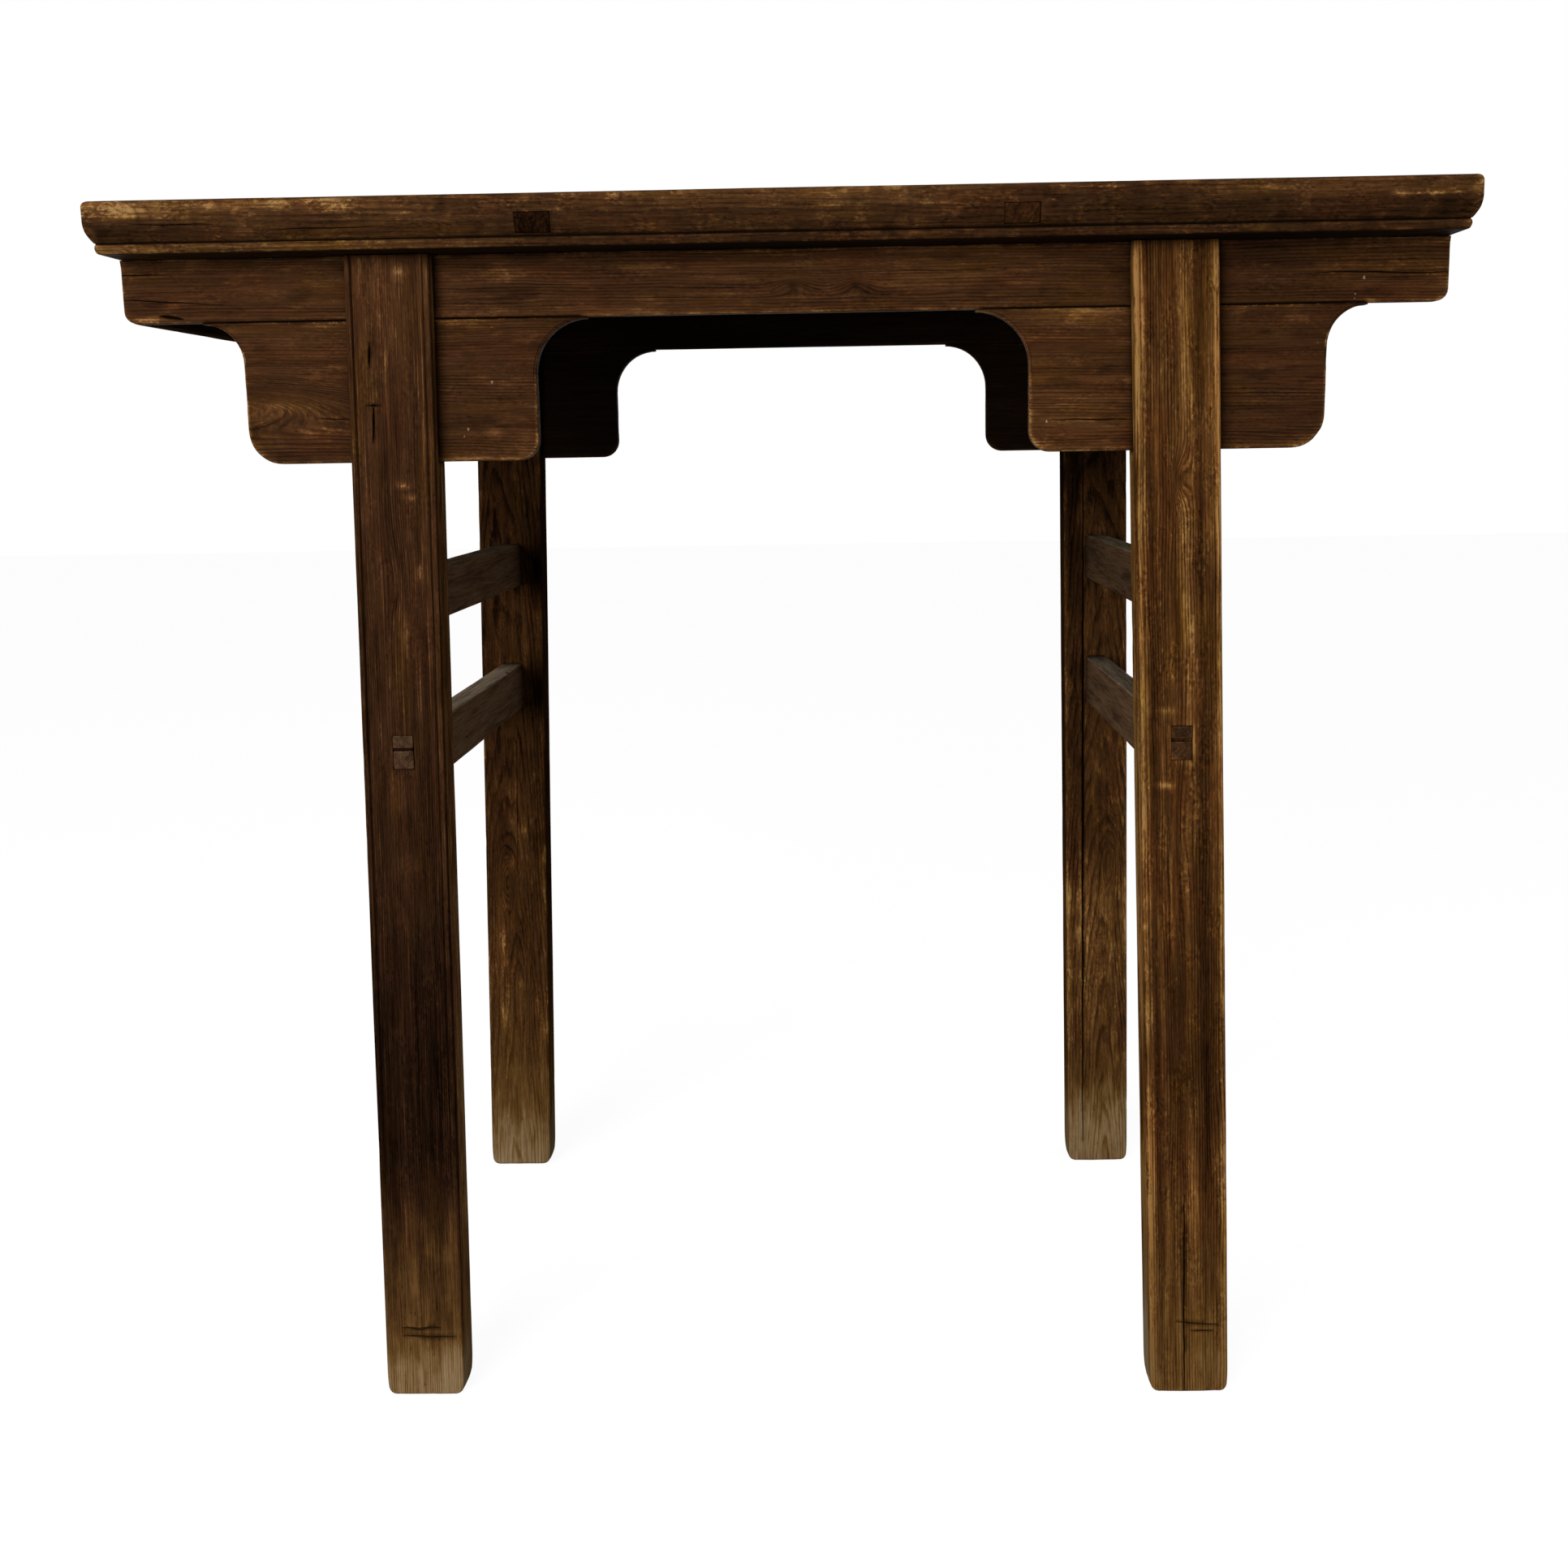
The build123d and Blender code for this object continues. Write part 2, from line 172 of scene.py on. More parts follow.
def smooth_step(value, low, high):
    share = np.clip((value - low) / (high - low), 0, 1)
    return share * share * (3 - 2 * share)


def at(place, table):
    """The value at a place, from a table of (place, value) pairs."""
    return np.interp(place, *zip(*table))


def fading(distance, reach):
    """1 up to a place and less and less beyond it."""
    return np.exp(-np.clip(distance, 0, None) / reach)


# ---------------------------------------------------------------- outlines
def line(start, end, step):
    """Evenly spaced points from start up to, and without, end."""
    start, end = np.asarray(start, float), np.asarray(end, float)
    count = max(1, round(float(np.linalg.norm(end - start)) / step))
    return start + np.arange(count)[:, None] / count * (end - start)


def arc(centre, radius, first, last, count):
    """Points on an arc from one angle to another, in degrees."""
    angle = np.radians(np.linspace(first, last, count))
    return np.column_stack([centre[0] + radius * np.cos(angle), centre[1] + radius * np.sin(angle)])


def bow(start, middle, end, count):
    """Points on a curve that passes through middle half-way."""
    start, middle, end = (np.array(point, float) for point in (start, middle, end))
    pull = 2 * middle - (start + end) / 2
    t = np.linspace(0, 1, count)[:, None]
    return (1 - t) ** 2 * start + 2 * t * (1 - t) * pull + t ** 2 * end


def closed(parts, step):
    """A closed outline through the parts, with the straight runs between them filled in."""
    joined = []
    for part, following in zip(parts, parts[1:] + parts[:1]):
        joined += [part, line(part[-1], following[0], step)[1:]]
    return np.concatenate(joined)


def rounded_rectangle(low, high, radius, step=3.0, count=4):
    """A closed outline with round corners; radius is one value or one for each corner."""
    radii = np.broadcast_to(radius, 4)
    corners = [(1, 1), (0, 1), (0, 0), (1, 0)]
    parts = []
    for turn, ((right, up), r) in enumerate(zip(corners, radii)):
        centre = (high[0] - r if right else low[0] + r, high[1] - r if up else low[1] + r)
        parts.append(arc(centre, r, 90 * turn, 90 * turn + 90, count))
    return closed(parts, step)


# ---------------------------------------------------------------- shells: points and faces
CAP_SHARES = (0.25, 0.6, 0.88)


def skin(rings):
    """A closed shell through rings of points (station, around, xyz)."""
    rings = np.array(rings)
    index = np.arange(rings.shape[0] * rings.shape[1]).reshape(rings.shape[:2])
    near, far = index[:-1], index[1:]
    quads = np.stack([near, np.roll(near, -1, 1), np.roll(far, -1, 1), far], -1).reshape(-1, 4)
    return rings.reshape(-1, 3), quads.tolist() + [index[0][::-1].tolist(), index[-1].tolist()]


def tube(rings):
    """A skin whose two caps have rings of their own."""
    def shrunk(ring, share):
        return ring.mean(0) + (ring - ring.mean(0)) * share
    start = [shrunk(rings[0], share) for share in CAP_SHARES]
    end = [shrunk(rings[-1], share) for share in reversed(CAP_SHARES)]
    return skin(np.concatenate([start, rings, end]))


def block(corner, opposite):
    """A plain box between two corners, used to cut with."""
    low, high = np.minimum(corner, opposite), np.maximum(corner, opposite)
    corners = np.array(list(itertools.product(*zip(low, high))), float)
    faces = [(0, 1, 3, 2), (4, 6, 7, 5), (0, 4, 5, 1), (2, 3, 7, 6), (0, 2, 6, 4), (1, 5, 7, 3)]
    return corners, [list(face) for face in faces]


def bar(start, end, section, step=4.0, end_round=1.0):
    """A straight piece whose section (across, up) runs from one (x, y) point to another."""
    start, end = np.array([*start, 0.0]), np.array([*end, 0.0])
    length = np.linalg.norm(end - start)
    along = (end - start) / length
    across = np.array([-along[1], along[0], 0.0])
    rim = end_round * np.array([0.0, 0.12, 0.5, 1.0])
    inset = end_round * np.array([1.0, 0.5, 0.12, 0.0])
    middle = line([rim[-1]], [length - rim[-1]], step)[1:, 0]
    places = np.concatenate([rim, middle, length - rim[::-1]])
    shrink = np.concatenate([inset, np.zeros(len(middle)), inset[::-1]])
    centre = section.mean(0)
    reach = np.abs(section - centre).max(0)
    rings = []
    for place, less in zip(places, shrink):
        loop = centre + (section - centre) * (1 - less / reach)
        rings.append(start + along * place + across * loop[:, :1] + np.array([0, 0, 1.0]) * loop[:, 1:])
    return tube(np.array(rings))


def ruled_board(outline, top, faces_y, radius, across_step=2.4):
    """A flat board under a straight top edge.

    outline holds (x, z) points from the left end of the top edge, round below, to its right end.
    faces_y are the y of the outer and the inner face.
    """
    outer_y, inner_y = faces_y
    inward = np.sign(inner_y - outer_y)
    run = np.concatenate([[0], np.cumsum(np.linalg.norm(np.diff(outline, axis=0), axis=1))])
    top_x = outline[0, 0] + (outline[-1, 0] - outline[0, 0]) * run / run[-1]
    head = np.column_stack([top_x, np.full(len(top_x), top)])
    heading = np.gradient(outline, axis=0)
    heading /= np.linalg.norm(heading, axis=1)[:, None]
    normal = np.column_stack([-heading[:, 1], heading[:, 0]])
    gap = np.linalg.norm(head - outline, axis=1)
    bevel = np.minimum(radius, 0.4 * gap)[:, None]
    shoulder = outline + normal * bevel
    count = max(4, round(float(gap.max()) / across_step))
    loop = []

    def add(plane, y):
        loop.append(np.column_stack([plane[:, 0], np.broadcast_to(y, len(plane)), plane[:, 1]]))
    for share in np.linspace(0, 1, count):
        add(head + (shoulder - head) * share, outer_y)
    angles = np.radians([30, 60, 90])
    for angle in angles:
        add(outline + normal * bevel * (1 - math.sin(angle)),
            outer_y + inward * bevel[:, 0] * (1 - math.cos(angle)))
    for share in (0.35, 0.65):
        add(outline, outer_y + (inner_y - outer_y) * share)
    for angle in angles[::-1]:
        add(outline + normal * bevel * (1 - math.sin(angle)),
            inner_y - inward * bevel[:, 0] * (1 - math.cos(angle)))
    for share in np.linspace(1, 0, count):
        add(head + (shoulder - head) * share, inner_y)
    for share in (0.33, 0.67):
        add(head, inner_y + (outer_y - inner_y) * share)
    return tube(np.stack(loop, axis=1))


def crack(points, across, inward, width, depth):
    """A thin wedge that opens a crack along points on a surface."""
    points = np.asarray(points, float)
    across, inward = np.asarray(across, float), np.asarray(inward, float)
    taper = np.sin(np.linspace(0.08, math.pi - 0.08, len(points))) ** 0.5
    above = 1.5
    rings = []
    for point, share in zip(points, taper):
        half = across * width * share * (0.5 + 0.5 * above / depth)
        rings.append([point - half - inward * above, point + half - inward * above,
                      point + inward * depth * share])
    return skin(rings)


def wandering(start, end, step, sway, seed):
    """Points from start to end that stray a little in every direction, as a crack does."""
    points = np.vstack([line(start, end, step), [end]])
    for axis in range(3):
        points[:, axis] += sway[axis] * noise(points, (9.0, 9.0, 9.0), seed + axis)
    return points


def front_crack(y, start, end, width, depth, step, sway, seed):
    """A crack in a front board, from one (x, z) to another."""
    path = wandering((start[0], y, start[1]), (end[0], y, end[1]), step, (0, 0, sway), seed)
    return crack(path, (0, 0, 1), (0, 1, 0), width, depth)


# ---------------------------------------------------------------- objects
def make_object(name, *shells):
    """One mesh object from shells in mm."""
    points, faces, start = [], [], 0
    for shell_points, shell_faces in shells:
        points.append(shell_points)
        faces += [[start + corner for corner in face] for face in shell_faces]
        start += len(shell_points)
    mesh = bpy.data.meshes.new(name)
    mesh.from_pydata((np.concatenate(points) * MM).tolist(), [], faces)
    work = bmesh.new()
    work.from_mesh(mesh)
    bmesh.ops.recalc_face_normals(work, faces=work.faces)
    work.to_mesh(mesh)
    work.free()
    obj = bpy.data.objects.new(name, mesh)
    bpy.context.scene.collection.objects.link(obj)
    return obj


RIM_SHARE = 0.6  # how much a vertex on the rim of a cut counts as cut, so that grime stays inside
TOUCHING = 0.02 * MM


def carve(obj, shells):
    """Cuts the shells out of a piece, and remembers which vertices the cuts made."""
    if not shells:
        return
    surface = BVHTree.FromPolygons([vertex.co for vertex in obj.data.vertices],
                                   [face.vertices for face in obj.data.polygons])
    before = KDTree(len(obj.data.vertices))
    for index, vertex in enumerate(obj.data.vertices):
        before.insert(vertex.co, index)
    before.balance()
    for shell in shells:
        cutter = make_object("cutter", shell)
        change = obj.modifiers.new("cut", "BOOLEAN")
        change.operation = "DIFFERENCE"
        change.solver = "MANIFOLD"
        change.object = cutter
        view = bpy.context.evaluated_depsgraph_get()
        mesh = bpy.data.meshes.new_from_object(obj.evaluated_get(view))
        obj.modifiers.clear()
        obj.data = mesh
        bpy.data.objects.remove(cutter)
    fresh = []
    for vertex in obj.data.vertices:
        inside = surface.find_nearest(vertex.co)[3] > TOUCHING
        new = before.find(vertex.co)[2] > TOUCHING
        fresh.append(1.0 if inside else RIM_SHARE * new)
    layer = obj.data.attributes.new("fresh_cut", "FLOAT", "POINT")
    layer.data.foreach_set("value", np.array(fresh, np.float32))


def add_shells(obj, *shells):
    """Adds shells to a piece that has been shaped and cut."""
    extra = make_object("extra", *shells)
    work = bmesh.new()
    work.from_mesh(obj.data)
    work.from_mesh(extra.data)
    work.to_mesh(obj.data)
    work.free()
    bpy.data.objects.remove(extra)


def read(obj):
    """Places in mm, and normals, of a piece's vertices."""
    count = len(obj.data.vertices)
    points, normals = np.empty(count * 3), np.empty(count * 3, np.float32)
    obj.data.vertices.foreach_get("co", points)
    obj.data.vertex_normals.foreach_get("vector", normals)
    return points.reshape(-1, 3) / MM, normals.reshape(-1, 3).astype(float)


def convexity(obj, spread=2):
    """How far each vertex stands out, from below 0 in a crease to about 1 on an edge."""
    points, normals = read(obj)
    edges = np.empty(len(obj.data.edges) * 2, np.int32)
    obj.data.edges.foreach_get("vertices", edges)
    a, b = edges.reshape(-1, 2).T
    run = points[b] - points[a]
    run /= np.maximum(np.linalg.norm(run, axis=1), 1e-6)[:, None]
    both = np.concatenate([a, b])
    bend = np.concatenate([-(normals[a] * run).sum(1), (normals[b] * run).sum(1)])
    count = np.maximum(np.bincount(both, minlength=len(points)), 1)
    value = np.bincount(both, bend, len(points)) / count
    other = np.concatenate([b, a])
    for _ in range(spread):
        value = (value + np.bincount(both, value[other], len(points)) / count) / 2
    return value * 5


def stretched(along, long_size, cross_size):
    """A noise size that is long on one axis."""
    return [long_size if axis == along else cross_size for axis in range(3)]


def weather(obj, along, seed, amount=1.0):
    """The unevenness of hand-planed, worn wood. It only goes inward, so CAD sizes hold."""
    points, normals = read(obj)
    edge = np.clip(convexity(obj, 1), 0, 1)
    depth = 0
    for number, (height, length, width) in enumerate([(0.18, 170, 45), (0.08, 42, 9), (0.02, 14, 5)]):
        depth = depth + height * (1 + noise(points, stretched(along, length, width), seed + number))
    nibble = 0.5 + 0.5 * noise(points, stretched(along, 32, 14), seed + 3)
    chip = np.clip(noise(points, stretched(along, 19, 8), seed + 4) - 0.45, 0, 1)
    depth = depth + edge * (0.1 + 0.4 * nibble ** 2 + 1.5 * chip)
    moved = points - normals * (depth * amount)[:, None]
    moved = np.clip(moved, points.min(0), points.max(0))
    obj.data.vertices.foreach_set("co", (moved * MM).ravel())
    obj.data.update()


def make_piece(name, shell, along, seed, amount=1.0, cuts=(), extras=()):
    """A piece that is weathered along its grain, cut, and then given its tenons or tongues."""
    obj = make_object(name, shell)
    weather(obj, along, seed, amount)
    carve(obj, cuts)
    if extras:
        add_shells(obj, *extras)
    return obj


# ---------------------------------------------------------------- grain and wear, kept on the vertices
def grain_space(local, pith, tilt, knots, seed):
    """Coordinates about the heart of the tree: along the grain, then two across it.

    A knot is ((along, across, up), length, width, push): the rings swell round it.
    """
    across = local[:, 1:] - np.array(pith) + local[:, :1] * np.array(tilt)
    for place, length, width, push in knots:
        away = (local - np.array(place)) / np.array([length, width, width])
        swell = push * np.exp(-(away ** 2).sum(1))
        outward = across / np.maximum(np.linalg.norm(across, axis=1), 1e-6)[:, None]
        across = across - outward * swell[:, None]
    return np.column_stack([local[:, 0] + 1700.0 * seed, across])


def along_x(centre):
    return lambda p: p - np.array(centre)


def along_y(centre):
    return lambda p: (p - np.array(centre))[:, [1, 0, 2]]


def dress(obj, node, material, local, pith, seed, tone, tilt=(0, 0), knots=(),
          dirt_and_shade=None, bleach=None, wear=None, rub=1.0, crease=1.0, cut_grime=0.6, spots=()):
    """Gives a finished piece its grain, wear and material, and puts it in place of its CAD node.

    tone, the darkening, bleach, wear, rub and cut_grime are values, or functions of the points.
    The darkening is real grime in places and painted shade in others. rub scales the wear of edges,
    crease how much darker hollows are made and cut_grime the grime of cracks and mortises. spots are
    (place, radius, wear, darkening) marks.
    """
    points, _ = read(obj)
    mesh = obj.data

    def value(given):
        if given is None:
            return np.zeros(len(points))
        return np.broadcast_to(given(points) if callable(given) else given, len(points)).astype(float)
    bend = convexity(obj)
    cut = np.zeros(len(points), np.float32)
    if "fresh_cut" in mesh.attributes:
        mesh.attributes["fresh_cut"].data.foreach_get("value", cut)
        mesh.attributes.remove(mesh.attributes["fresh_cut"])
    worn = np.maximum(np.clip(bend * 1.5, 0, 1) * value(rub), value(wear)) * (1 - cut)
    # The darkening: what the piece gives, which is grime in places and painted shade in others, and darker
    # hollows.
    grime_and_shade = np.maximum(value(dirt_and_shade), np.clip(-bend * 2.0, 0, 1) * crease * (1 - cut))
    grime_and_shade = np.maximum(grime_and_shade, value(cut_grime) * cut)
    # The last value of a spot darkens the wood: grime on most spots, painted shade on a few.
    for place, radius, gain, stain in spots:
        near = np.exp(-(((points - np.array(place)) / np.array(radius)) ** 2).sum(1))
        worn = np.maximum(worn, near * gain)
        grime_and_shade = np.maximum(grime_and_shade, near * stain)
    masks = np.column_stack([worn, grime_and_shade, value(bleach), value(tone)])
    layer = mesh.attributes.new("masks", "FLOAT_COLOR", "POINT")
    layer.data.foreach_set("color", np.clip(masks, 0, 1).astype(np.float32).ravel())
    grain = mesh.attributes.new("grain", "FLOAT_VECTOR", "POINT")
    coordinates = grain_space(local(points), pith, tilt, knots, seed)
    grain.data.foreach_set("vector", coordinates.astype(np.float32).ravel())
    mesh.materials.clear()
    mesh.materials.append(material)
    mesh.shade_smooth()
    mesh.set_sharp_from_angle(angle=math.radians(38))
    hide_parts(node)
    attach(obj, "root")


# ---------------------------------------------------------------- materials
def srgb(red, green, blue):
    """A colour written as on a screen, from 0 to 255, turned into a linear one."""
    def linear(part):
        part /= 255
        return part / 12.92 if part <= 0.04045 else ((part + 0.055) / 1.055) ** 2.4
    return (linear(red), linear(green), linear(blue), 1.0)


class Nodes:
    """Short names for building the nodes of a material or of the world."""

    def __init__(self, owner):
        self.owner = owner
        owner.use_nodes = True
        self.tree = owner.node_tree
        self.tree.nodes.clear()

    def add(self, kind, plugs=None, **settings):
        node = self.tree.nodes.new(kind)
        for key, value in settings.items():
            setattr(node, key, value)
        for key, value in (plugs or {}).items():
            self.plug(node.inputs[key], value)
        return node

    def plug(self, socket, value):
        if isinstance(value, bpy.types.NodeSocket):
            self.tree.links.new(value, socket)
        else:
            socket.default_value = value

    def math(self, operation, first, second=0.0, third=0.0, clamp=False):
        plugs = {0: first, 1: second, 2: third}
        return self.add("ShaderNodeMath", plugs, operation=operation, use_clamp=clamp).outputs[0]

    def pile(self, base, layers, middle=0.0):
        """base with (value, amount) layers added to it, each value counted from middle."""
        for value, amount in layers:
            if middle:
                value = self.math("SUBTRACT", value, middle)
            base = self.math("MULTIPLY_ADD", value, amount, base)
        return base

    def noise(self, vector, size, detail=2.0, roughness=0.5):
        """Noise from 0 to 1 whose bumps have this size in mm along and across the grain."""
        scale = [1 / part for part in size]
        scaled = self.add("ShaderNodeVectorMath", {0: vector, 1: scale}, operation="MULTIPLY")
        plugs = {"Vector": scaled.outputs[0], "Scale": 1.0, "Detail": detail, "Roughness": roughness}
        return self.add("ShaderNodeTexNoise", plugs).outputs[0]

    def span(self, value, low, high, to_low=0.0, to_high=1.0):
        plugs = {0: value, 1: low, 2: high, 3: to_low, 4: to_high}
        return self.add("ShaderNodeMapRange", plugs, interpolation_type="SMOOTHSTEP").outputs[0]

    def mix(self, share, first, second, blend="MIX"):
        plugs = {0: share, 6: first, 7: second}
        return self.add("ShaderNodeMix", plugs, data_type="RGBA", blend_type=blend).outputs[2]

    def ramp(self, value, stops):
        node = self.add("ShaderNodeValToRGB", {0: value})
        band = node.color_ramp
        while len(band.elements) < len(stops):
            band.elements.new(1.0)
        for element, (place, colour) in zip(band.elements, stops):
            element.position = place
            element.color = colour
        return node.outputs[0]


def grey(level):
    return (level, level, level, 1.0)


# From the deepest stain to wood rubbed bare.
STAINED = [
    (0.00, srgb(12, 6, 3)), (0.20, srgb(34, 19, 9)), (0.40, srgb(55, 33, 17)), (0.55, srgb(71, 44, 23)),
    (0.70, srgb(93, 60, 32)), (0.85, srgb(125, 87, 48)), (1.00, srgb(164, 123, 76)),
]
BLEACHED_DARK = srgb(82, 54, 22)
BLEACHED_MIDDLE = srgb(116, 84, 44)
BLEACHED_PALE = srgb(152, 128, 95)
# The colour of grime and of painted shade.
GRIME_AND_SHADE = srgb(8, 4, 2)
DUST_DARK = srgb(140, 110, 82)
DUST_PALE = srgb(190, 170, 141)
RED_TINT = (1.12, 0.90, 0.80, 1.0)
GOLDEN_TINT = (1.03, 1.01, 0.80, 1.0)


def aged_wood(name, ring_gap, ring_strength, blotch=0.3, streak=0.4, fibre=0.4, patch=0.13, red=0.5,
              patch_length=1.0, pitted=0.2, hair=0.0, dusty=False, gloss=0.015, tint=(1.0, 1.0, 1.0, 1.0)):
    """Old stained softwood: year rings about a heart, fibres, worn varnish, rubbed edges, grime and
    painted shade.

    The third mask is how far the wood is bleached, or how thick the dust lies on it where dusty.
    """
    g = Nodes(bpy.data.materials.new(name))
    grain = g.add("ShaderNodeAttribute", attribute_name="grain").outputs["Vector"]
    masks = g.add("ShaderNodeAttribute", attribute_name="masks")
    wear, dirt_and_shade, third = g.add("ShaderNodeSeparateColor", {0: masks.outputs["Color"]}).outputs[:3]
    tone = masks.outputs["Alpha"]

    parts = g.add("ShaderNodeSeparateXYZ", {0: grain}).outputs
    bend = g.noise(grain, (150, 22, 22), 2.0)
    shiver = g.noise(grain, (28, 4, 4), 2.0)
    radius = g.math("SQRT", g.math("ADD", g.math("MULTIPLY", parts[1], parts[1]),
                                   g.math("MULTIPLY", parts[2], parts[2])))
    radius = g.pile(radius, ((bend, ring_gap * 3.6), (shiver, ring_gap * 0.6)))
    year = g.math("DIVIDE", radius, ring_gap)
    late_wood = g.ramp(g.math("FRACT", year), [
        (0.0, grey(0.25)), (0.12, grey(0.0)), (0.55, grey(0.12)), (0.86, grey(1.0)), (0.96, grey(0.9)),
        (1.0, grey(0.25))])
    ring_show = g.span(g.noise(grain, (190, 8, 8), 3.0), 0.34, 0.64, 0.15, 1.0)
    rings = g.math("MULTIPLY", late_wood, ring_show)

    large = g.noise(grain, (170, 50, 50), 3.0, 0.55)
    middle = g.noise(grain, (100, 6, 6), 4.0, 0.65)
    small = g.noise(grain, (34, 1.3, 1.3), 3.0, 0.7)
    worn = g.noise(grain, (30 * patch_length, 11, 11), 5.0, 0.68)
    stain = g.noise(grain, (44 * patch_length, 15, 15), 4.0, 0.62)
    fleck = g.noise(grain, (5.5, 1.3, 1.3), 3.0, 0.65)
    speckle = g.noise(grain, (3.4, 1.7, 1.7), 3.0, 0.6)
    worn_off = g.span(worn, 0.54, 0.66)
    stained = g.span(stain, 0.44, 0.34)
    rubbed = g.math("MULTIPLY", wear, g.span(worn, 0.36, 0.6, 0.35, 1.3))
    scratch = g.span(fleck, 0.66, 0.75)
    flaking = g.math("MULTIPLY_ADD", wear, 0.35, g.span(worn, 0.46, 0.64, 0.03, 0.28))
    chipped = g.math("MULTIPLY", g.span(speckle, 0.57, 0.63), g.span(wear, 0.25, 0.9))
    pit = g.span(fleck, 0.36, 0.28)
    mottled = g.math("MULTIPLY", g.math("SUBTRACT", speckle, 0.5), g.span(stain, 0.46, 0.6, 0.25, 2.6))
    shade = g.pile(tone, ((large, blotch * 1.6), (middle, streak * 1.5), (small, fibre * 1.5),
                          (fleck, fibre * 0.7)), middle=0.5)
    shade = g.pile(shade, ((rings, -ring_strength), (worn_off, patch), (stained, patch * -0.9),
                           (rubbed, 0.4), (scratch, flaking), (chipped, 0.3), (pit, -0.16),
                           (mottled, pitted)))
    if hair:
        hairline = g.span(g.noise(grain, (75, 0.75, 0.75), 2.0), 0.6, 0.7)
        shade = g.math("MULTIPLY_ADD", hairline, hair, shade)
    colour = g.ramp(g.math("ADD", shade, clamp=True), STAINED)
    colour = g.mix(1.0, colour, tint, "MULTIPLY")
    hue = g.noise(grain, (85, 17, 17), 3.0, 0.6)
    colour = g.mix(g.span(hue, 0.47, 0.62, 0.0, red), colour, RED_TINT, "MULTIPLY")
    colour = g.mix(g.span(hue, 0.5, 0.36), colour, GOLDEN_TINT, "MULTIPLY")

    if dusty:
        upward = g.add("ShaderNodeSeparateXYZ", {0: g.add("ShaderNodeNewGeometry").outputs["Normal"]})
        settled = g.span(upward.outputs[2], 0.2, 0.85, 0.75, 1.0)
        settled = g.math("MULTIPLY", settled, g.span(middle, 0.3, 0.62, 0.45, 1.0))
        settled = g.math("MULTIPLY", settled, g.span(small, 0.34, 0.6, 0.58, 1.0))
        powder = g.mix(g.span(upward.outputs[2], 0.3, 0.9), DUST_DARK, DUST_PALE)
        colour = g.mix(g.math("MULTIPLY", settled, third), colour, powder)
    else:
        washed = g.pile(third, ((worn, 0.7), (middle, 0.7), (small, 0.6)), middle=0.5)
        washed = g.math("MULTIPLY_ADD", pit, -0.25, washed)
        pale = g.ramp(g.math("MULTIPLY_ADD", rings, -0.45, washed), [
            (0.0, BLEACHED_DARK), (0.55, BLEACHED_MIDDLE), (1.0, BLEACHED_PALE)])
        reach = g.math("MULTIPLY", g.span(washed, 0.0, 0.9), g.span(third, 0.0, 0.35))
        colour = g.mix(reach, colour, pale)
    # The second mask darkens the wood towards the grime colour: real grime in places, painted shade in
    # others.
    colour = g.mix(g.math("MULTIPLY", dirt_and_shade, g.span(small, 0.2, 0.7, 0.8, 1.0)), colour, GRIME_AND_SHADE)

    relief = g.pile(g.math("MULTIPLY", small, 0.6), ((rings, 0.5), (pit, -0.8), (worn, 0.8)))
    bump = g.add("ShaderNodeBump", {"Strength": 0.5, "Distance": 0.0003, "Height": relief})
    polish = g.span(middle, 0.3, 0.7, 0.72, 0.55)
    plugs = {"Base Color": colour, "Roughness": polish, "Specular IOR Level": gloss,
             "Normal": bump.outputs[0]}
    shader = g.add("ShaderNodeBsdfPrincipled", plugs)
    g.add("ShaderNodeOutputMaterial", {0: shader.outputs[0]})
    return g.owner


def lime_drip():
    """Dried drips of lime wash."""
    g = Nodes(bpy.data.materials.new("pale_speck"))
    place = g.add("ShaderNodeTexCoord").outputs["Object"]
    crust = g.add("ShaderNodeTexNoise", {"Vector": place, "Scale": 900.0, "Detail": 3.0}).outputs[0]
    colour = g.mix(g.span(crust, 0.35, 0.65), srgb(104, 82, 54), srgb(172, 148, 112))
    shader = g.add("ShaderNodeBsdfPrincipled", {"Base Color": colour, "Roughness": 0.8,
                                                "Specular IOR Level": 0.2})
    g.add("ShaderNodeOutputMaterial", {0: shader.outputs[0]})
    return g.owner


frame_wood = aged_wood("moulded_frame_wood", ring_gap=3.4, ring_strength=0.16, blotch=0.4, streak=0.24,
                       fibre=0.42, patch=0.13, patch_length=0.45, pitted=0.4,
                       tint=(0.99, 1.05, 1.03, 1.0))
panel_wood = aged_wood("panel_wood", ring_gap=4.2, ring_strength=0.2, blotch=0.4, streak=0.4, pitted=0.3)
apron_wood = aged_wood("apron_wood", ring_gap=2.1, ring_strength=0.26, blotch=0.22, streak=0.3, fibre=0.27,
                       hair=0.1)
leg_wood = aged_wood("leg_wood", ring_gap=1.9, ring_strength=0.34, blotch=0.16, streak=0.4, patch=0.07,
                     red=0.5, pitted=0.36, hair=0.12, gloss=0.0, tint=(1.0, 1.0, 0.86, 1.0))
brown_leg_wood = aged_wood("brown_leg_wood", ring_gap=1.7, ring_strength=0.2, blotch=0.2, streak=0.28,
                           fibre=0.32, patch=0.08, red=0.34, hair=0.28, gloss=0.0,
                           tint=(1.0, 1.04, 1.2, 1.0))
rear_leg_wood = aged_wood("rear_leg_wood", ring_gap=2.4, ring_strength=0.27, blotch=0.26, streak=0.34,
                          patch=0.14, red=0.35, hair=0.08, gloss=0.0, tint=(1.0, 1.05, 0.97, 1.0))
dusty_wood = aged_wood("dusty_wood", ring_gap=3.0, ring_strength=0.16, dusty=True, gloss=0.0)
hidden_wood = aged_wood("hidden_wood", ring_gap=3.5, ring_strength=0.15, blotch=0.2, gloss=0.0)


# ---------------------------------------------------------------- where the legs stand
def leaning(top, foot, z):
    """A place at height z on a straight line from the foot to the underside of the top."""
    return top + (foot - top) * (underside - z) / underside


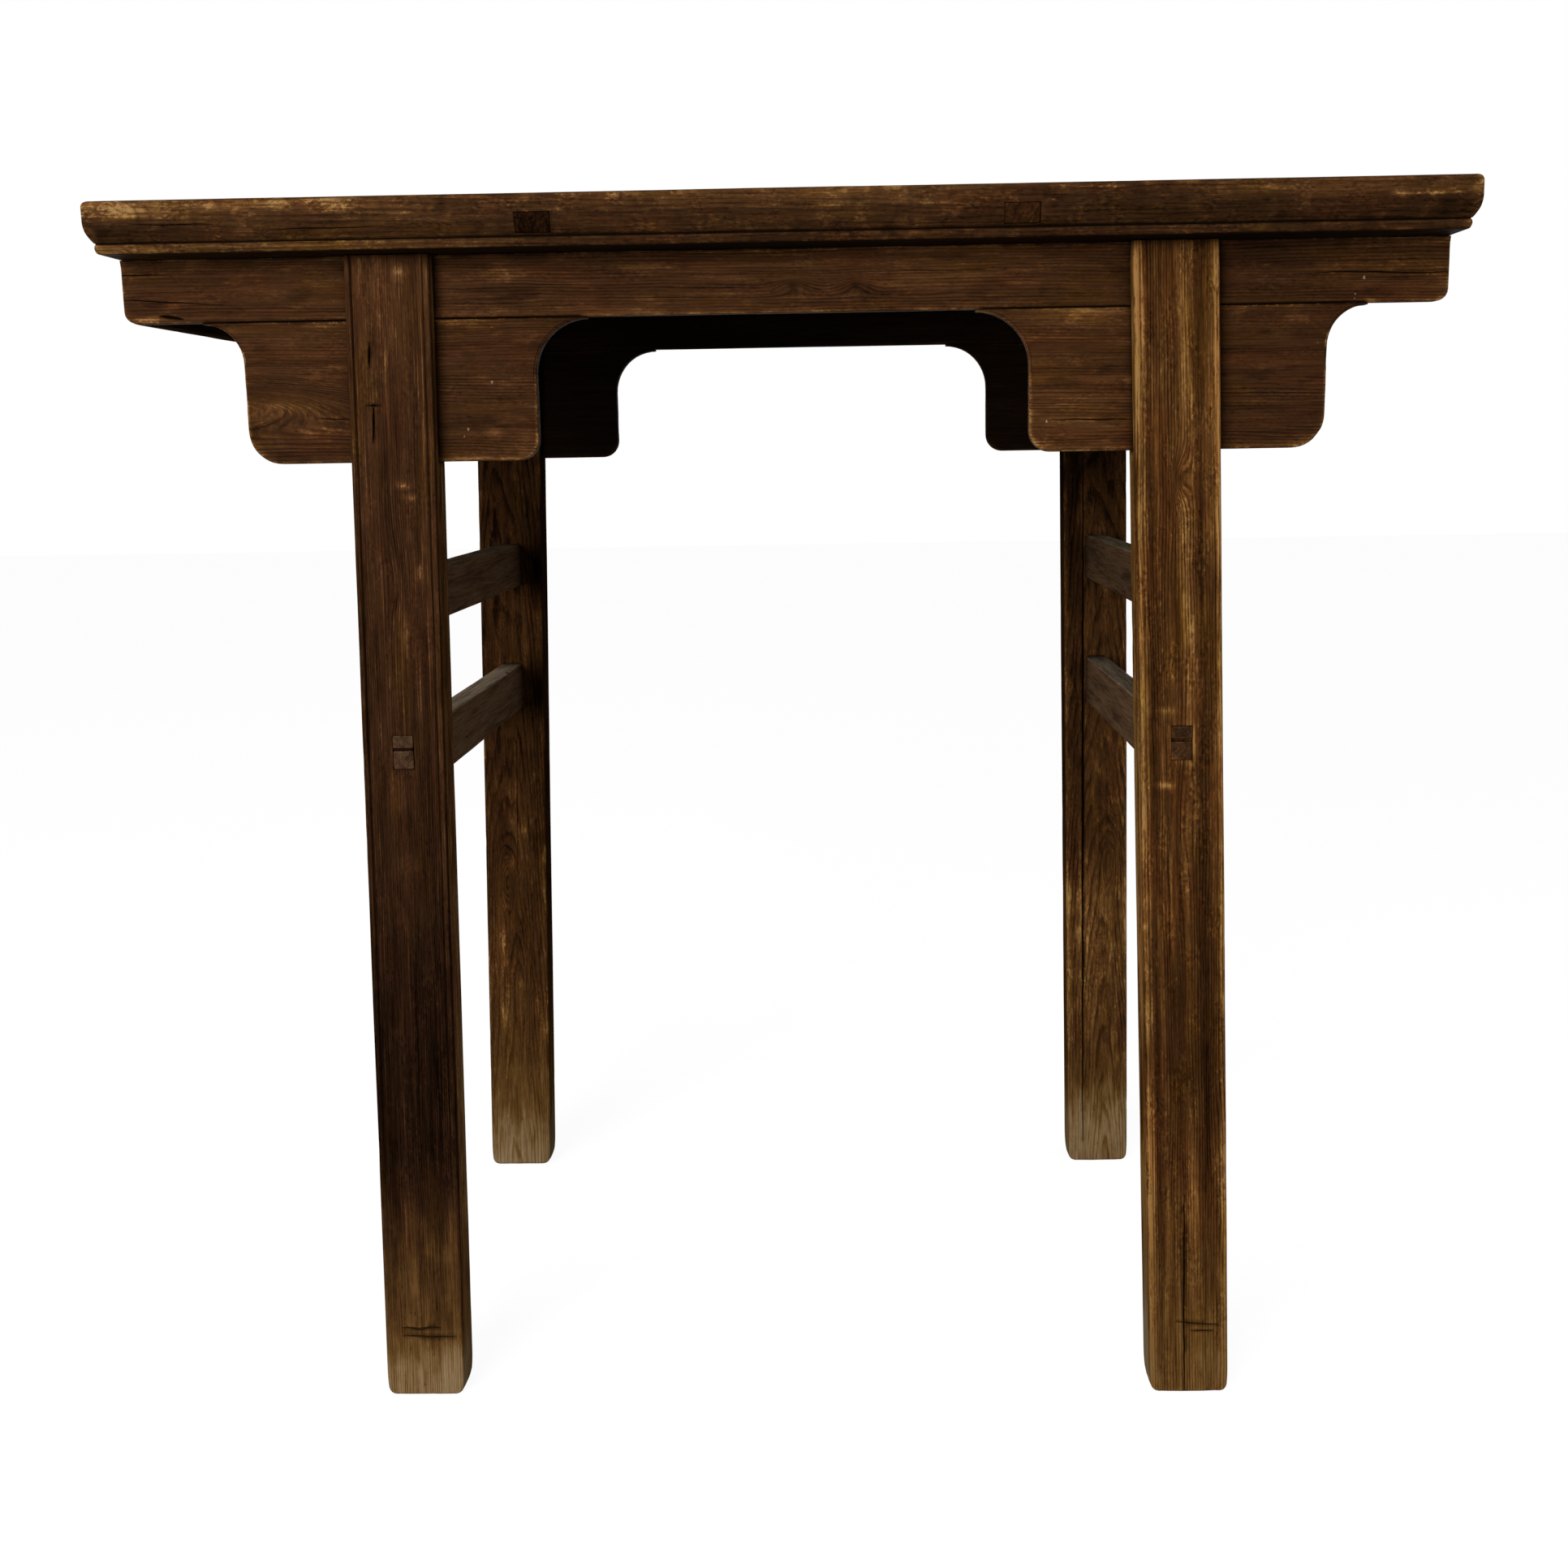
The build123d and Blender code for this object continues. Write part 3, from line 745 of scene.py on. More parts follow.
class Leg:
    """One leg's place: its centre line and outer face lean outward towards the foot."""

    def __init__(self, end, side):
        self.end, self.side = end, side
        low, high = span("leg_" + corner_name(end, side))
        outer_x, inner_x = (low[0], high[0]) if side == LEFT else (high[0], low[0])
        outer_y, inner_y = (low[1], high[1]) if end == FRONT else (high[1], low[1])
        self.foot_x, self.top_x = outer_x - side * leg_half, inner_x + side * leg_half
        self.foot_face, self.top_face = outer_y, inner_y + end * leg_depth
        self.seen = 0.0 if end == FRONT else leg_depth  # how far in the face is that the camera sees

    def x(self, z):
        return leaning(self.top_x, self.foot_x, z)

    def face(self, z):
        return leaning(self.top_face, self.foot_face, z)

    def point(self, s, z, inset=0.0):
        """A point s to the right of the leg's centre line, inset deep behind its outer face."""
        return np.array([self.x(z) + s, self.face(z) - self.end * inset, z])

    def local(self, points):
        z = points[:, 2]
        return np.column_stack([z, points[:, 0] - self.x(z), self.end * (self.face(z) - points[:, 1])])


legs = {(end, side): Leg(end, side) for end in ENDS for side in SIDES}


def beside_legs(points, end, reach):
    """Grime where a board meets the legs that it passes through."""
    gaps = [np.abs(points[:, 0] - legs[end, side].x(points[:, 2])) - leg_half for side in SIDES]
    return np.maximum(*[fading(gap, reach) for gap in gaps])


# ---------------------------------------------------------------- the moulded top frame
def rail_section():
    """The moulded section as (inset from the outermost line, z)."""
    groove = underside + bead_height
    slope_top = table_height - edge_round - edge_face
    return closed([
        arc((rail_width - 1, table_height - 1), 1, 0, 90, 3),
        arc((edge_round, table_height - edge_round), edge_round, 90, 180, 8),
        bow((0, slope_top), (edge_undercut / 2 - edge_sag, (slope_top + groove) / 2),
            (edge_undercut, groove), 11),
        np.array([[edge_undercut + 0.8, groove - 0.1], [edge_undercut + 0.9, groove - 0.5]]),
        bow((edge_undercut + 0.4, groove - 0.8), (bead_setback - bead_nose, underside + bead_height * 0.5),
            (bead_setback - 0.6, underside + 0.5), 9),
        np.array([[bead_setback + 0.4, underside]]),
        arc((rail_width - 1, underside + 1), 1, -90, 0, 3),
    ], 2.6)


def rail_rings(half_run, half_other, stations):
    """Rings of (along, outward distance from the middle, z) for one rail between its mitres."""
    inset, z = rail_section().T
    share = np.linspace(-1, 1, stations)[:, None]
    run = half_run - inset - mitre_gap
    reach = np.maximum(corner_round - inset, 0)[None, :]
    to_mitre = run - np.abs(share * run)
    arm = np.sqrt((to_mitre - reach) ** 2 + reach ** 2)
    turning = (to_mitre < reach) & (arm > 0)
    scale = np.where(turning, reach / np.maximum(arm, 1e-9), 1.0)
    to_mitre = np.where(turning, reach + (to_mitre - reach) * scale, to_mitre)
    cut = np.where(turning, reach - reach * scale, 0.0)
    along = np.sign(share) * (run - to_mitre)
    return along, half_other - inset - cut, np.broadcast_to(z, along.shape)


def edge_inset(z):
    """How far in the moulded edge is at a height, for the ends of through tenons."""
    section = rail_section()
    outer = section[(section[:, 0] < rail_width / 2) & (section[:, 1] < table_height - 0.5)]
    return at(z, outer[np.argsort(outer[:, 1])][:, ::-1])


def rail_tone(points):
    """Rubbed golden at the left end, darker to the right; painted highlight along the upper edge, which
    faces up, and painted shade on the slope below it, which faces down, deeper towards the ends.
    """
    x, z = points[:, 0], points[:, 2]
    tone = at(x, [(-452, 0.64), (-390, 0.57), (-250, 0.48), (0, 0.45), (250, 0.41), (452, 0.44)])
    edge = smooth_step(z, 834, 841)
    bead = 1 - smooth_step(z, underside + bead_height - 1, underside + bead_height)
    ends = smooth_step(np.abs(x), 330, 440)
    # Painted highlight on the upper edge, painted shade on the slope between it and the bead.
    tone = tone + 0.09 * edge - (0.07 + 0.11 * ends) * (1 - edge) * (1 - bead)
    return tone + at(x, [(-452, 0.1), (-300, 0.08), (-150, -0.05), (452, -0.04)]) * bead


def rail_wear(points):
    """Chips along the arris between the round edge and the hollow below it, and on the top arris."""
    z = points[:, 2]
    arris = np.exp(-((z - table_height + edge_round + edge_face) / 1.1) ** 2)
    upper = np.exp(-((z - table_height + 1.6) / 1.3) ** 2)
    broken = smooth_step(noise(points, (16, 16, 4), 301), 0.1, 0.5)
    rough = 0.6 + 0.5 * smooth_step(points[:, 0], 120, 300)
    return rough * arris * broken + 0.5 * upper * smooth_step(noise(points, (11, 11, 4), 302), 0.0, 0.5)


def rail_dirt_and_shade(points):
    """Painted shade on the underside, and darker in the quirk above the bead."""
    below = smooth_step(points[:, 2], underside + 1.2, underside + 0.2)
    quirk = np.exp(-((points[:, 2] - underside - bead_height) / 0.8) ** 2)
    outer = np.minimum(half_length - np.abs(points[:, 0]), half_depth - np.abs(points[:, 1]))
    return np.maximum(0.93 * below, 0.6 * quirk * (outer < 14))


def tenon_shell(near, far, radius=0.6):
    """A tenon that runs along y between two corners, with softened edges."""
    section = rounded_rectangle((near[0], near[2]), (far[0], far[2]), radius, step=2.0, count=3)
    start, stop = sorted((near[1], far[1]))
    return bar((0, start), (0, stop), section * [-1, 1], step=6.0, end_round=0.5)


def follow_edge(shell, axis, outward, half_size):
    """Trims the outer end of a tenon to just inside the slope of the moulded edge."""
    points, faces = shell
    limit = half_size - edge_inset(points[:, 2]) - tenon_sink
    points[:, axis] = outward * np.minimum(outward * points[:, axis], limit)
    return points, faces


def dress_rail(rail, name, local, pith, seed, tilt, spots=()):
    dress(rail, "top_rail_" + name, frame_wood, local, pith, seed, rail_tone,
          tilt=tilt, dirt_and_shade=rail_dirt_and_shade, rub=0.6, wear=rail_wear, spots=spots)


# Rubbed and dirty places on the front rail: (place, radius, wear, dirt).
front_rail_spots = [
    ((-449, -259, 834.6), (2.5, 4, 1.8), 0, 0.9), ((-442, -256, 824.3), (2.2, 5, 1.6), 0, 0.9),
    ((-413, -259, 838.5), (1.2, 3, 5), 0, 0.7), ((-300, -258, 846), (46, 8, 4), 0.7, 0),
    ((402, -252, 817), (7, 6, 1.5), 0.9, 0), ((-430, -258, 843), (30, 8, 9), 0.8, 0),
    ((330, -258, 842), (30, 6, 1.4), 0.8, 0), ((210, -258, 846), (26, 6, 1.6), 0.7, 0),
]


# Cracks in the front rail: (how far behind its face, start, stop, width, depth, seed), with
# (x, z) places.
front_rail_cracks = [
    (0.0, (-418, 833.8), (-366, 833.4), 0.7, 3.0, 5), (1.5, (-330, 829.5), (-262, 829.9), 0.5, 2.0, 6),
]


def make_long_rail(end):
    along, outward, z = rail_rings(half_length, half_depth, 236)
    cuts = [block((side * brace_x - brace_tenon_half - 0.5, end * half_depth - cutter_reach,
                   brace_tenon_bottom - mortise_gap),
                  (side * brace_x + brace_tenon_half + 0.7, end * half_depth + cutter_reach,
                   brace_tenon_top + 0.4))
            for side in SIDES]
    if end == FRONT:
        face = -half_depth + 0.4
        cuts += [front_crack(face + inset, start, stop, width, depth, step=3.0, sway=0.5, seed=seed)
                 for inset, start, stop, width, depth, seed in front_rail_cracks]
    centre = end * frame_middle_y
    section = rounded_rectangle((centre - frame_tenon_width / 2, frame_tenon_bottom),
                                (centre + frame_tenon_width / 2, frame_tenon_top),
                                radius=0.6, step=2.0, count=3)
    tenons = []
    for side in SIDES:
        low, high = sorted((side * half_length, side * (half_length - rail_width)))
        tenon = bar((low, 0), (high, 0), section, step=8.0, end_round=0.5)
        tenons.append(follow_edge(tenon, X_AXIS, side, half_length))
    shell = tube(np.stack([along, end * outward, z], -1))
    rail = make_piece("rail_" + ENDS[end], shell, X_AXIS, seed=11 + end, amount=0.8, cuts=cuts,
                      extras=tenons)
    dress_rail(rail, ENDS[end], along_x((0, centre, rail_middle_z)), pith=(end * 22, -46),
               seed=3 + end, tilt=(0.004, 0.012), spots=front_rail_spots if end == FRONT else ())


def make_short_rail(side):
    along, outward, z = rail_rings(half_depth, half_length, 134)
    cuts = [block((side * half_length - cutter_reach, end * (frame_middle_y - frame_mortise_half),
                   frame_tenon_bottom - mortise_gap),
                  (side * half_length + cutter_reach, end * (frame_middle_y + frame_mortise_half),
                   frame_tenon_top + mortise_gap))
            for end in ENDS]
    shell = tube(np.stack([side * outward, along, z], -1))
    rail = make_piece("rail_" + SIDES[side], shell, Y_AXIS, seed=21 + side, amount=0.8, cuts=cuts)
    dress_rail(rail, SIDES[side], along_y((side * (half_length - rail_width / 2), 0, rail_middle_z)),
               pith=(side * 25, -40), seed=6 + side, tilt=(0.006, 0.01))


# ---------------------------------------------------------------- panel and braces
def make_panel():
    reach = half_length - rail_width - panel_gap
    inner = half_depth - rail_width - panel_gap
    looks = [(0.5, -18, (-210, 12, 8)), (0.56, 30, (40, -20, 8)), (0.47, -40, (255, 8, 8))]
    for number, (tone, heart, knot_place) in enumerate(looks, 1):
        low, high = span(f"panel_board_{number}")
        low_y = max(low[1], -inner)
        high_y = min(high[1], inner)
        section = rounded_rectangle((low_y + seam_half, low[2]), (high_y - seam_half, high[2]),
                                    radius=0.9, step=2.6, count=3)
        tongue = rounded_rectangle((low[1] + board_gap, low[2] + tongue_bottom),
                                   (high[1] - board_gap, low[2] + tongue_top),
                                   radius=0.4, step=12.0, count=3)
        tongue = bar((-reach - tongue_reach, 0), (reach + tongue_reach, 0), tongue, step=60.0,
                     end_round=0.4)
        shell = bar((-reach, 0), (reach, 0), section, step=4.5, end_round=0.8)
        board = make_piece(f"panel_{number}", shell, X_AXIS, seed=30 + number, amount=0.8,
                           extras=[tongue])
        centre = (0, (low_y + high_y) / 2, low[2])
        dress(board, f"panel_board_{number}", panel_wood, along_x(centre), pith=(heart, -34),
              seed=9 + number, tone=tone, tilt=(0.01, 0.016), knots=[(knot_place, 26, 12, 7)])


def make_brace(side):
    name = SIDES[side]
    low, high = span("brace_" + name)
    inner = half_depth - rail_width
    x = side * brace_x
    section = rounded_rectangle((-brace_half, low[2]), (brace_half, high[2] - key_height),
                                radius=1.2, step=2.6, count=3)
    tenons = [follow_edge(tenon_shell((x - brace_tenon_half, end * half_depth, brace_tenon_bottom),
                                      (x + brace_tenon_half, end * (inner - 4), brace_tenon_top)),
                          Y_AXIS, end, half_depth) for end in ENDS]
    shell = bar((0, -inner), (0, inner), section - [x, 0], step=5.0, end_round=0.5)
    brace = make_piece("brace_bar_" + name, shell, Y_AXIS, seed=40 + side, extras=tenons)
    end_tone = {LEFT: 0.17, RIGHT: 0.46}[side]
    dress(brace, "brace_" + name, hidden_wood, along_y((x, 0, 830)), pith=(26, -12),
          seed=14 + side, tone=lambda p: np.where(p[:, 1] < -inner - 40, end_tone, 0.32), rub=0.3)


# ---------------------------------------------------------------- aprons, end board and spandrels
def board_spots(marks):
    """Rubbed and dirty places on the front boards: (x, z, half width, half height, wear, dirt)."""
    return [((x, -apron_face, z), (wide, 3, tall), wear, dirt_and_shade) for x, z, wide, tall, wear, dirt_and_shade in marks]


def board_dirt_and_shade(end, *layers):
    """Painted shade on the inner face of a board, grime beside the legs, and what each of the layers adds.
    """
    def grime_and_shade(points):
        # Painted shade on the inner face.
        inside = 0.98 * smooth_step(end * points[:, 1], apron_face - 3, apron_face - 8)
        beside = 0.85 * beside_legs(points, end, 2.6)
        return np.maximum.reduce([inside, beside] + [layer(points) for layer in layers])
    return grime_and_shade


def apron_outline():
    corner = 8.0
    left, right, top = -apron_half_length, apron_half_length, underside - 0.6
    return np.concatenate([
        line((left, top), (left, apron_bottom + corner), 4.0),
        arc((left + corner, apron_bottom + corner), corner, 180, 270, 6)[:-1],
        line((left + corner, apron_bottom), (right - corner, apron_bottom), 4.0),
        arc((right - corner, apron_bottom + corner), corner, 270, 360, 6)[:-1],
        line((right, apron_bottom + corner), (right, top), 4.0),
        np.array([[right, top]]),
    ])


def over_spandrels(points):
    """1 on the apron's lower edge where a spandrel board meets it."""
    x, z = np.abs(points[:, 0]), points[:, 2]
    low, high = span("spandrel_front_right")
    return smooth_step(z, apron_bottom + 2.0, apron_bottom + 0.7) * (x > low[0] + 2) * (x < high[0] - 2)


def painted_shadow_under_top(points):
    """Painted shadow on the apron just below the top."""
    reach = at(points[:, 0], [(-440, 1.2), (-300, 2.6), (-50, 2.2), (150, 1.2), (440, 0.9)])
    return 0.95 * fading(underside - points[:, 2], reach)


# Splits in the front apron: (start, end, width, depth), with (x, z) places.
apron_splits = [
    ((356, 794.2), (446, 792.6), 1.0, 4.0), ((-447, 806.6), (-414, 806.0), 0.7, 3.0),
    ((-447, 790.8), (-384, 785.9), 0.8, 3.0), ((-421, 779.4), (-404, 777.0), 2.6, 5.0),
    ((60, 800.5), (150, 799.4), 0.4, 1.5), ((-120, 786), (-30, 785), 0.4, 1.5),
]
apron_spots = board_spots([
    (-430, 776.5, 13, 2.4, 0.9, 0), (8.6, 791.6, 3.2, 2.6, 0, 0.75), (51, 790.8, 3.0, 2.4, 0, 0.75),
    (-180, 803, 46, 5, 0.5, 0), (120, 795, 60, 6, 0.35, 0), (-250, 809, 15, 2, 0.8, 0),
])


def make_apron(end):
    low, high = span("end_board_left")
    socket = (high[0] + low[0]) / 2
    cuts = [block((x - socket_half, end * (apron_inner - 5), apron_bottom + socket_end),
                  (x + socket_half, end * (apron_inner + socket_depth), underside - socket_end))
            for x in (-socket, socket)]
    if end == FRONT:
        cuts += [front_crack(-apron_face, *split, step=3.5, sway=0.45, seed=60 + number)
                 for number, split in enumerate(apron_splits)]
    shell = ruled_board(apron_outline(), underside, (end * apron_face, end * apron_inner), radius=1.4)
    board = make_piece("apron_board_" + ENDS[end], shell, X_AXIS, seed=50 + end, amount=0.6, cuts=cuts)
    tones = [(-445, 0.45), (-240, 0.52), (-60, 0.5), (120, 0.53), (300, 0.44), (445, 0.59)]
    knots = [((8.6, end * 6, -3.4), 12, 5, 5), ((51, end * 6, -4.2), 11, 5, 5)]
    # Painted shade on the inner face and a painted shadow just below the top; dark joints beside the legs
    # and along the spandrels.
    dress(board, "apron_" + ENDS[end], apron_wood, along_x((0, end * apron_heart, 795)),
          pith=(end * -26, -105), seed=17 + end, tone=lambda p: at(p[:, 0], tones),
          tilt=(0.0, 0.006), knots=knots,
          dirt_and_shade=board_dirt_and_shade(end, painted_shadow_under_top, lambda p: 0.97 * over_spandrels(p)),
          rub=lambda p: 0.7 * (1 - over_spandrels(p)), spots=apron_spots if end == FRONT else ())


def make_end_board():
    low, high = span("end_board_left")
    section = rounded_rectangle((-high[0], low[2]), (-low[0], high[2] - board_gap),
                                radius=(0.8, 0.8, 0.8, 5.0), step=2.6, count=4)
    stub = rounded_rectangle((-high[0] + stub_side, low[2] + stub_end),
                             (-low[0] - stub_side, high[2] - stub_end), radius=0.5, step=4.0, count=3)
    half, stub_half = apron_inner - board_gap, apron_inner + stub_reach
    shell = bar((0, -half), (0, half), section, step=5.0, end_round=0.5)
    stubs = bar((0, -stub_half), (0, stub_half), stub, step=40.0, end_round=0.4)
    board = make_piece("end_board", shell, Y_AXIS, seed=55, extras=[stubs])
    dress(board, "end_board_left", dusty_wood, along_y(((low[0] + high[0]) / 2, 0, 795)),
          pith=(30, -80), seed=21, tone=0.44, rub=0.7, bleach=0.6,
          # Painted shade: darker towards the board's inner face.
          dirt_and_shade=lambda p: 0.5 * smooth_step(p[:, 0], low[0] + 8, high[0]))


def spandrel_outline(side):
    """Points (x, z) from the left end of the top edge, round below, to its right end."""
    low, high = span("spandrel_front_" + SIDES[side])
    centre = (low[0] + high[0]) / 2
    tip = apron_bottom - spandrel_tip

    def half(edge, towards):
        """From the tip at x = edge, down to the level underside; measured outward from 0."""
        sweep, corner = (sweep_outer, corner_outer) if towards == side else (sweep_inner, corner_inner)
        swept = [(edge - sweep * math.sin(a), tip - sweep * (1 - math.cos(a)))
                 for a in np.linspace(0, math.pi / 2, 13)]
        turned = [(edge - sweep - corner * (1 - math.cos(a)), spandrel_bottom + corner * (1 - math.sin(a)))
                  for a in np.linspace(0, math.pi / 2, 12)]
        down = line(swept[-1], turned[0], 2.4)[1:].tolist()
        outline = [(edge, apron_bottom - 0.2)] + swept + down + turned
        return [(centre + towards * x, z) for x, z in outline]
    left, right = half(centre - low[0], LEFT), half(high[0] - centre, RIGHT)[::-1]
    level = line(left[-1], right[0], 2.4)[1:].tolist()
    return np.array(left + level + right)


def seam_dirt(points):
    """Grime where a spandrel meets the apron."""
    return 0.95 * smooth_step(points[:, 2], apron_bottom - 1.6, apron_bottom - 0.1)


# A split in each front spandrel: (seed, start, end, width, depth), with (x, z) places.
spandrel_splits = {LEFT: (82, (-317, 709.5), (-294, 709.0), 0.9, 3.0),
                   RIGHT: (81, (179, 700.8), (240, 700.0), 1.1, 4.0)}
spandrel_tones = {(FRONT, LEFT): 0.51, (FRONT, RIGHT): 0.58, (BACK, LEFT): 0.46, (BACK, RIGHT): 0.48}
left_spandrel_spots = board_spots([
    (-306, 704, 12, 4, 0, 0.45), (-383, 712, 7, 16, 0, 0.5), (-340, 716, 20, 6, 0.5, 0),
    (-322, 700, 16, 6, 0.4, 0), (-196, 697, 7, 3.2, 0.6, 0), (-180, 690, 9, 9, 0.55, 0),
])


def make_spandrel(end, side, seed):
    name = corner_name(end, side)
    low, high = span("spandrel_" + name)
    middle_y = end * (apron_face + apron_inner) / 2
    tongue = rounded_rectangle((-middle_y - 2, apron_bottom - 2), (-middle_y + 2, apron_bottom + 4), 0.3)
    tongue = bar((low[0] + 16, 0), (high[0] - 16, 0), tongue * [-1, 1], step=60.0, end_round=0.3)
    shell = ruled_board(spandrel_outline(side), apron_bottom + 0.15,
                        (end * (apron_face - 0.1), end * apron_inner), radius=2.0)
    split_seed, *split = spandrel_splits[side]
    splits = [front_crack(-apron_face, *split, step=3.0, sway=0.4, seed=split_seed)]
    board = make_piece("spandrel_board_" + name, shell, X_AXIS, seed=70 + seed,
                       cuts=splits if end == FRONT else (), extras=[tongue])
    marked = (end, side) == (FRONT, LEFT)
    pith = {LEFT: (end * 24, 640), RIGHT: (end * -40, 590)}[side]
    # Painted shade on the inner face; dark joints beside the legs and along the apron.
    dress(board, "spandrel_" + name, apron_wood, along_x((0, end * apron_heart, 0)), pith,
          seed, lambda p: spandrel_tones[end, side] - 0.11 * smooth_step(p[:, 0], 240, 300),
          tilt=(0.0, 0.01), knots=[((-384, -6, 719), 72, 14, 32)] if marked else (),
          dirt_and_shade=board_dirt_and_shade(end, seam_dirt), rub=0.9, spots=left_spandrel_spots if marked else ())


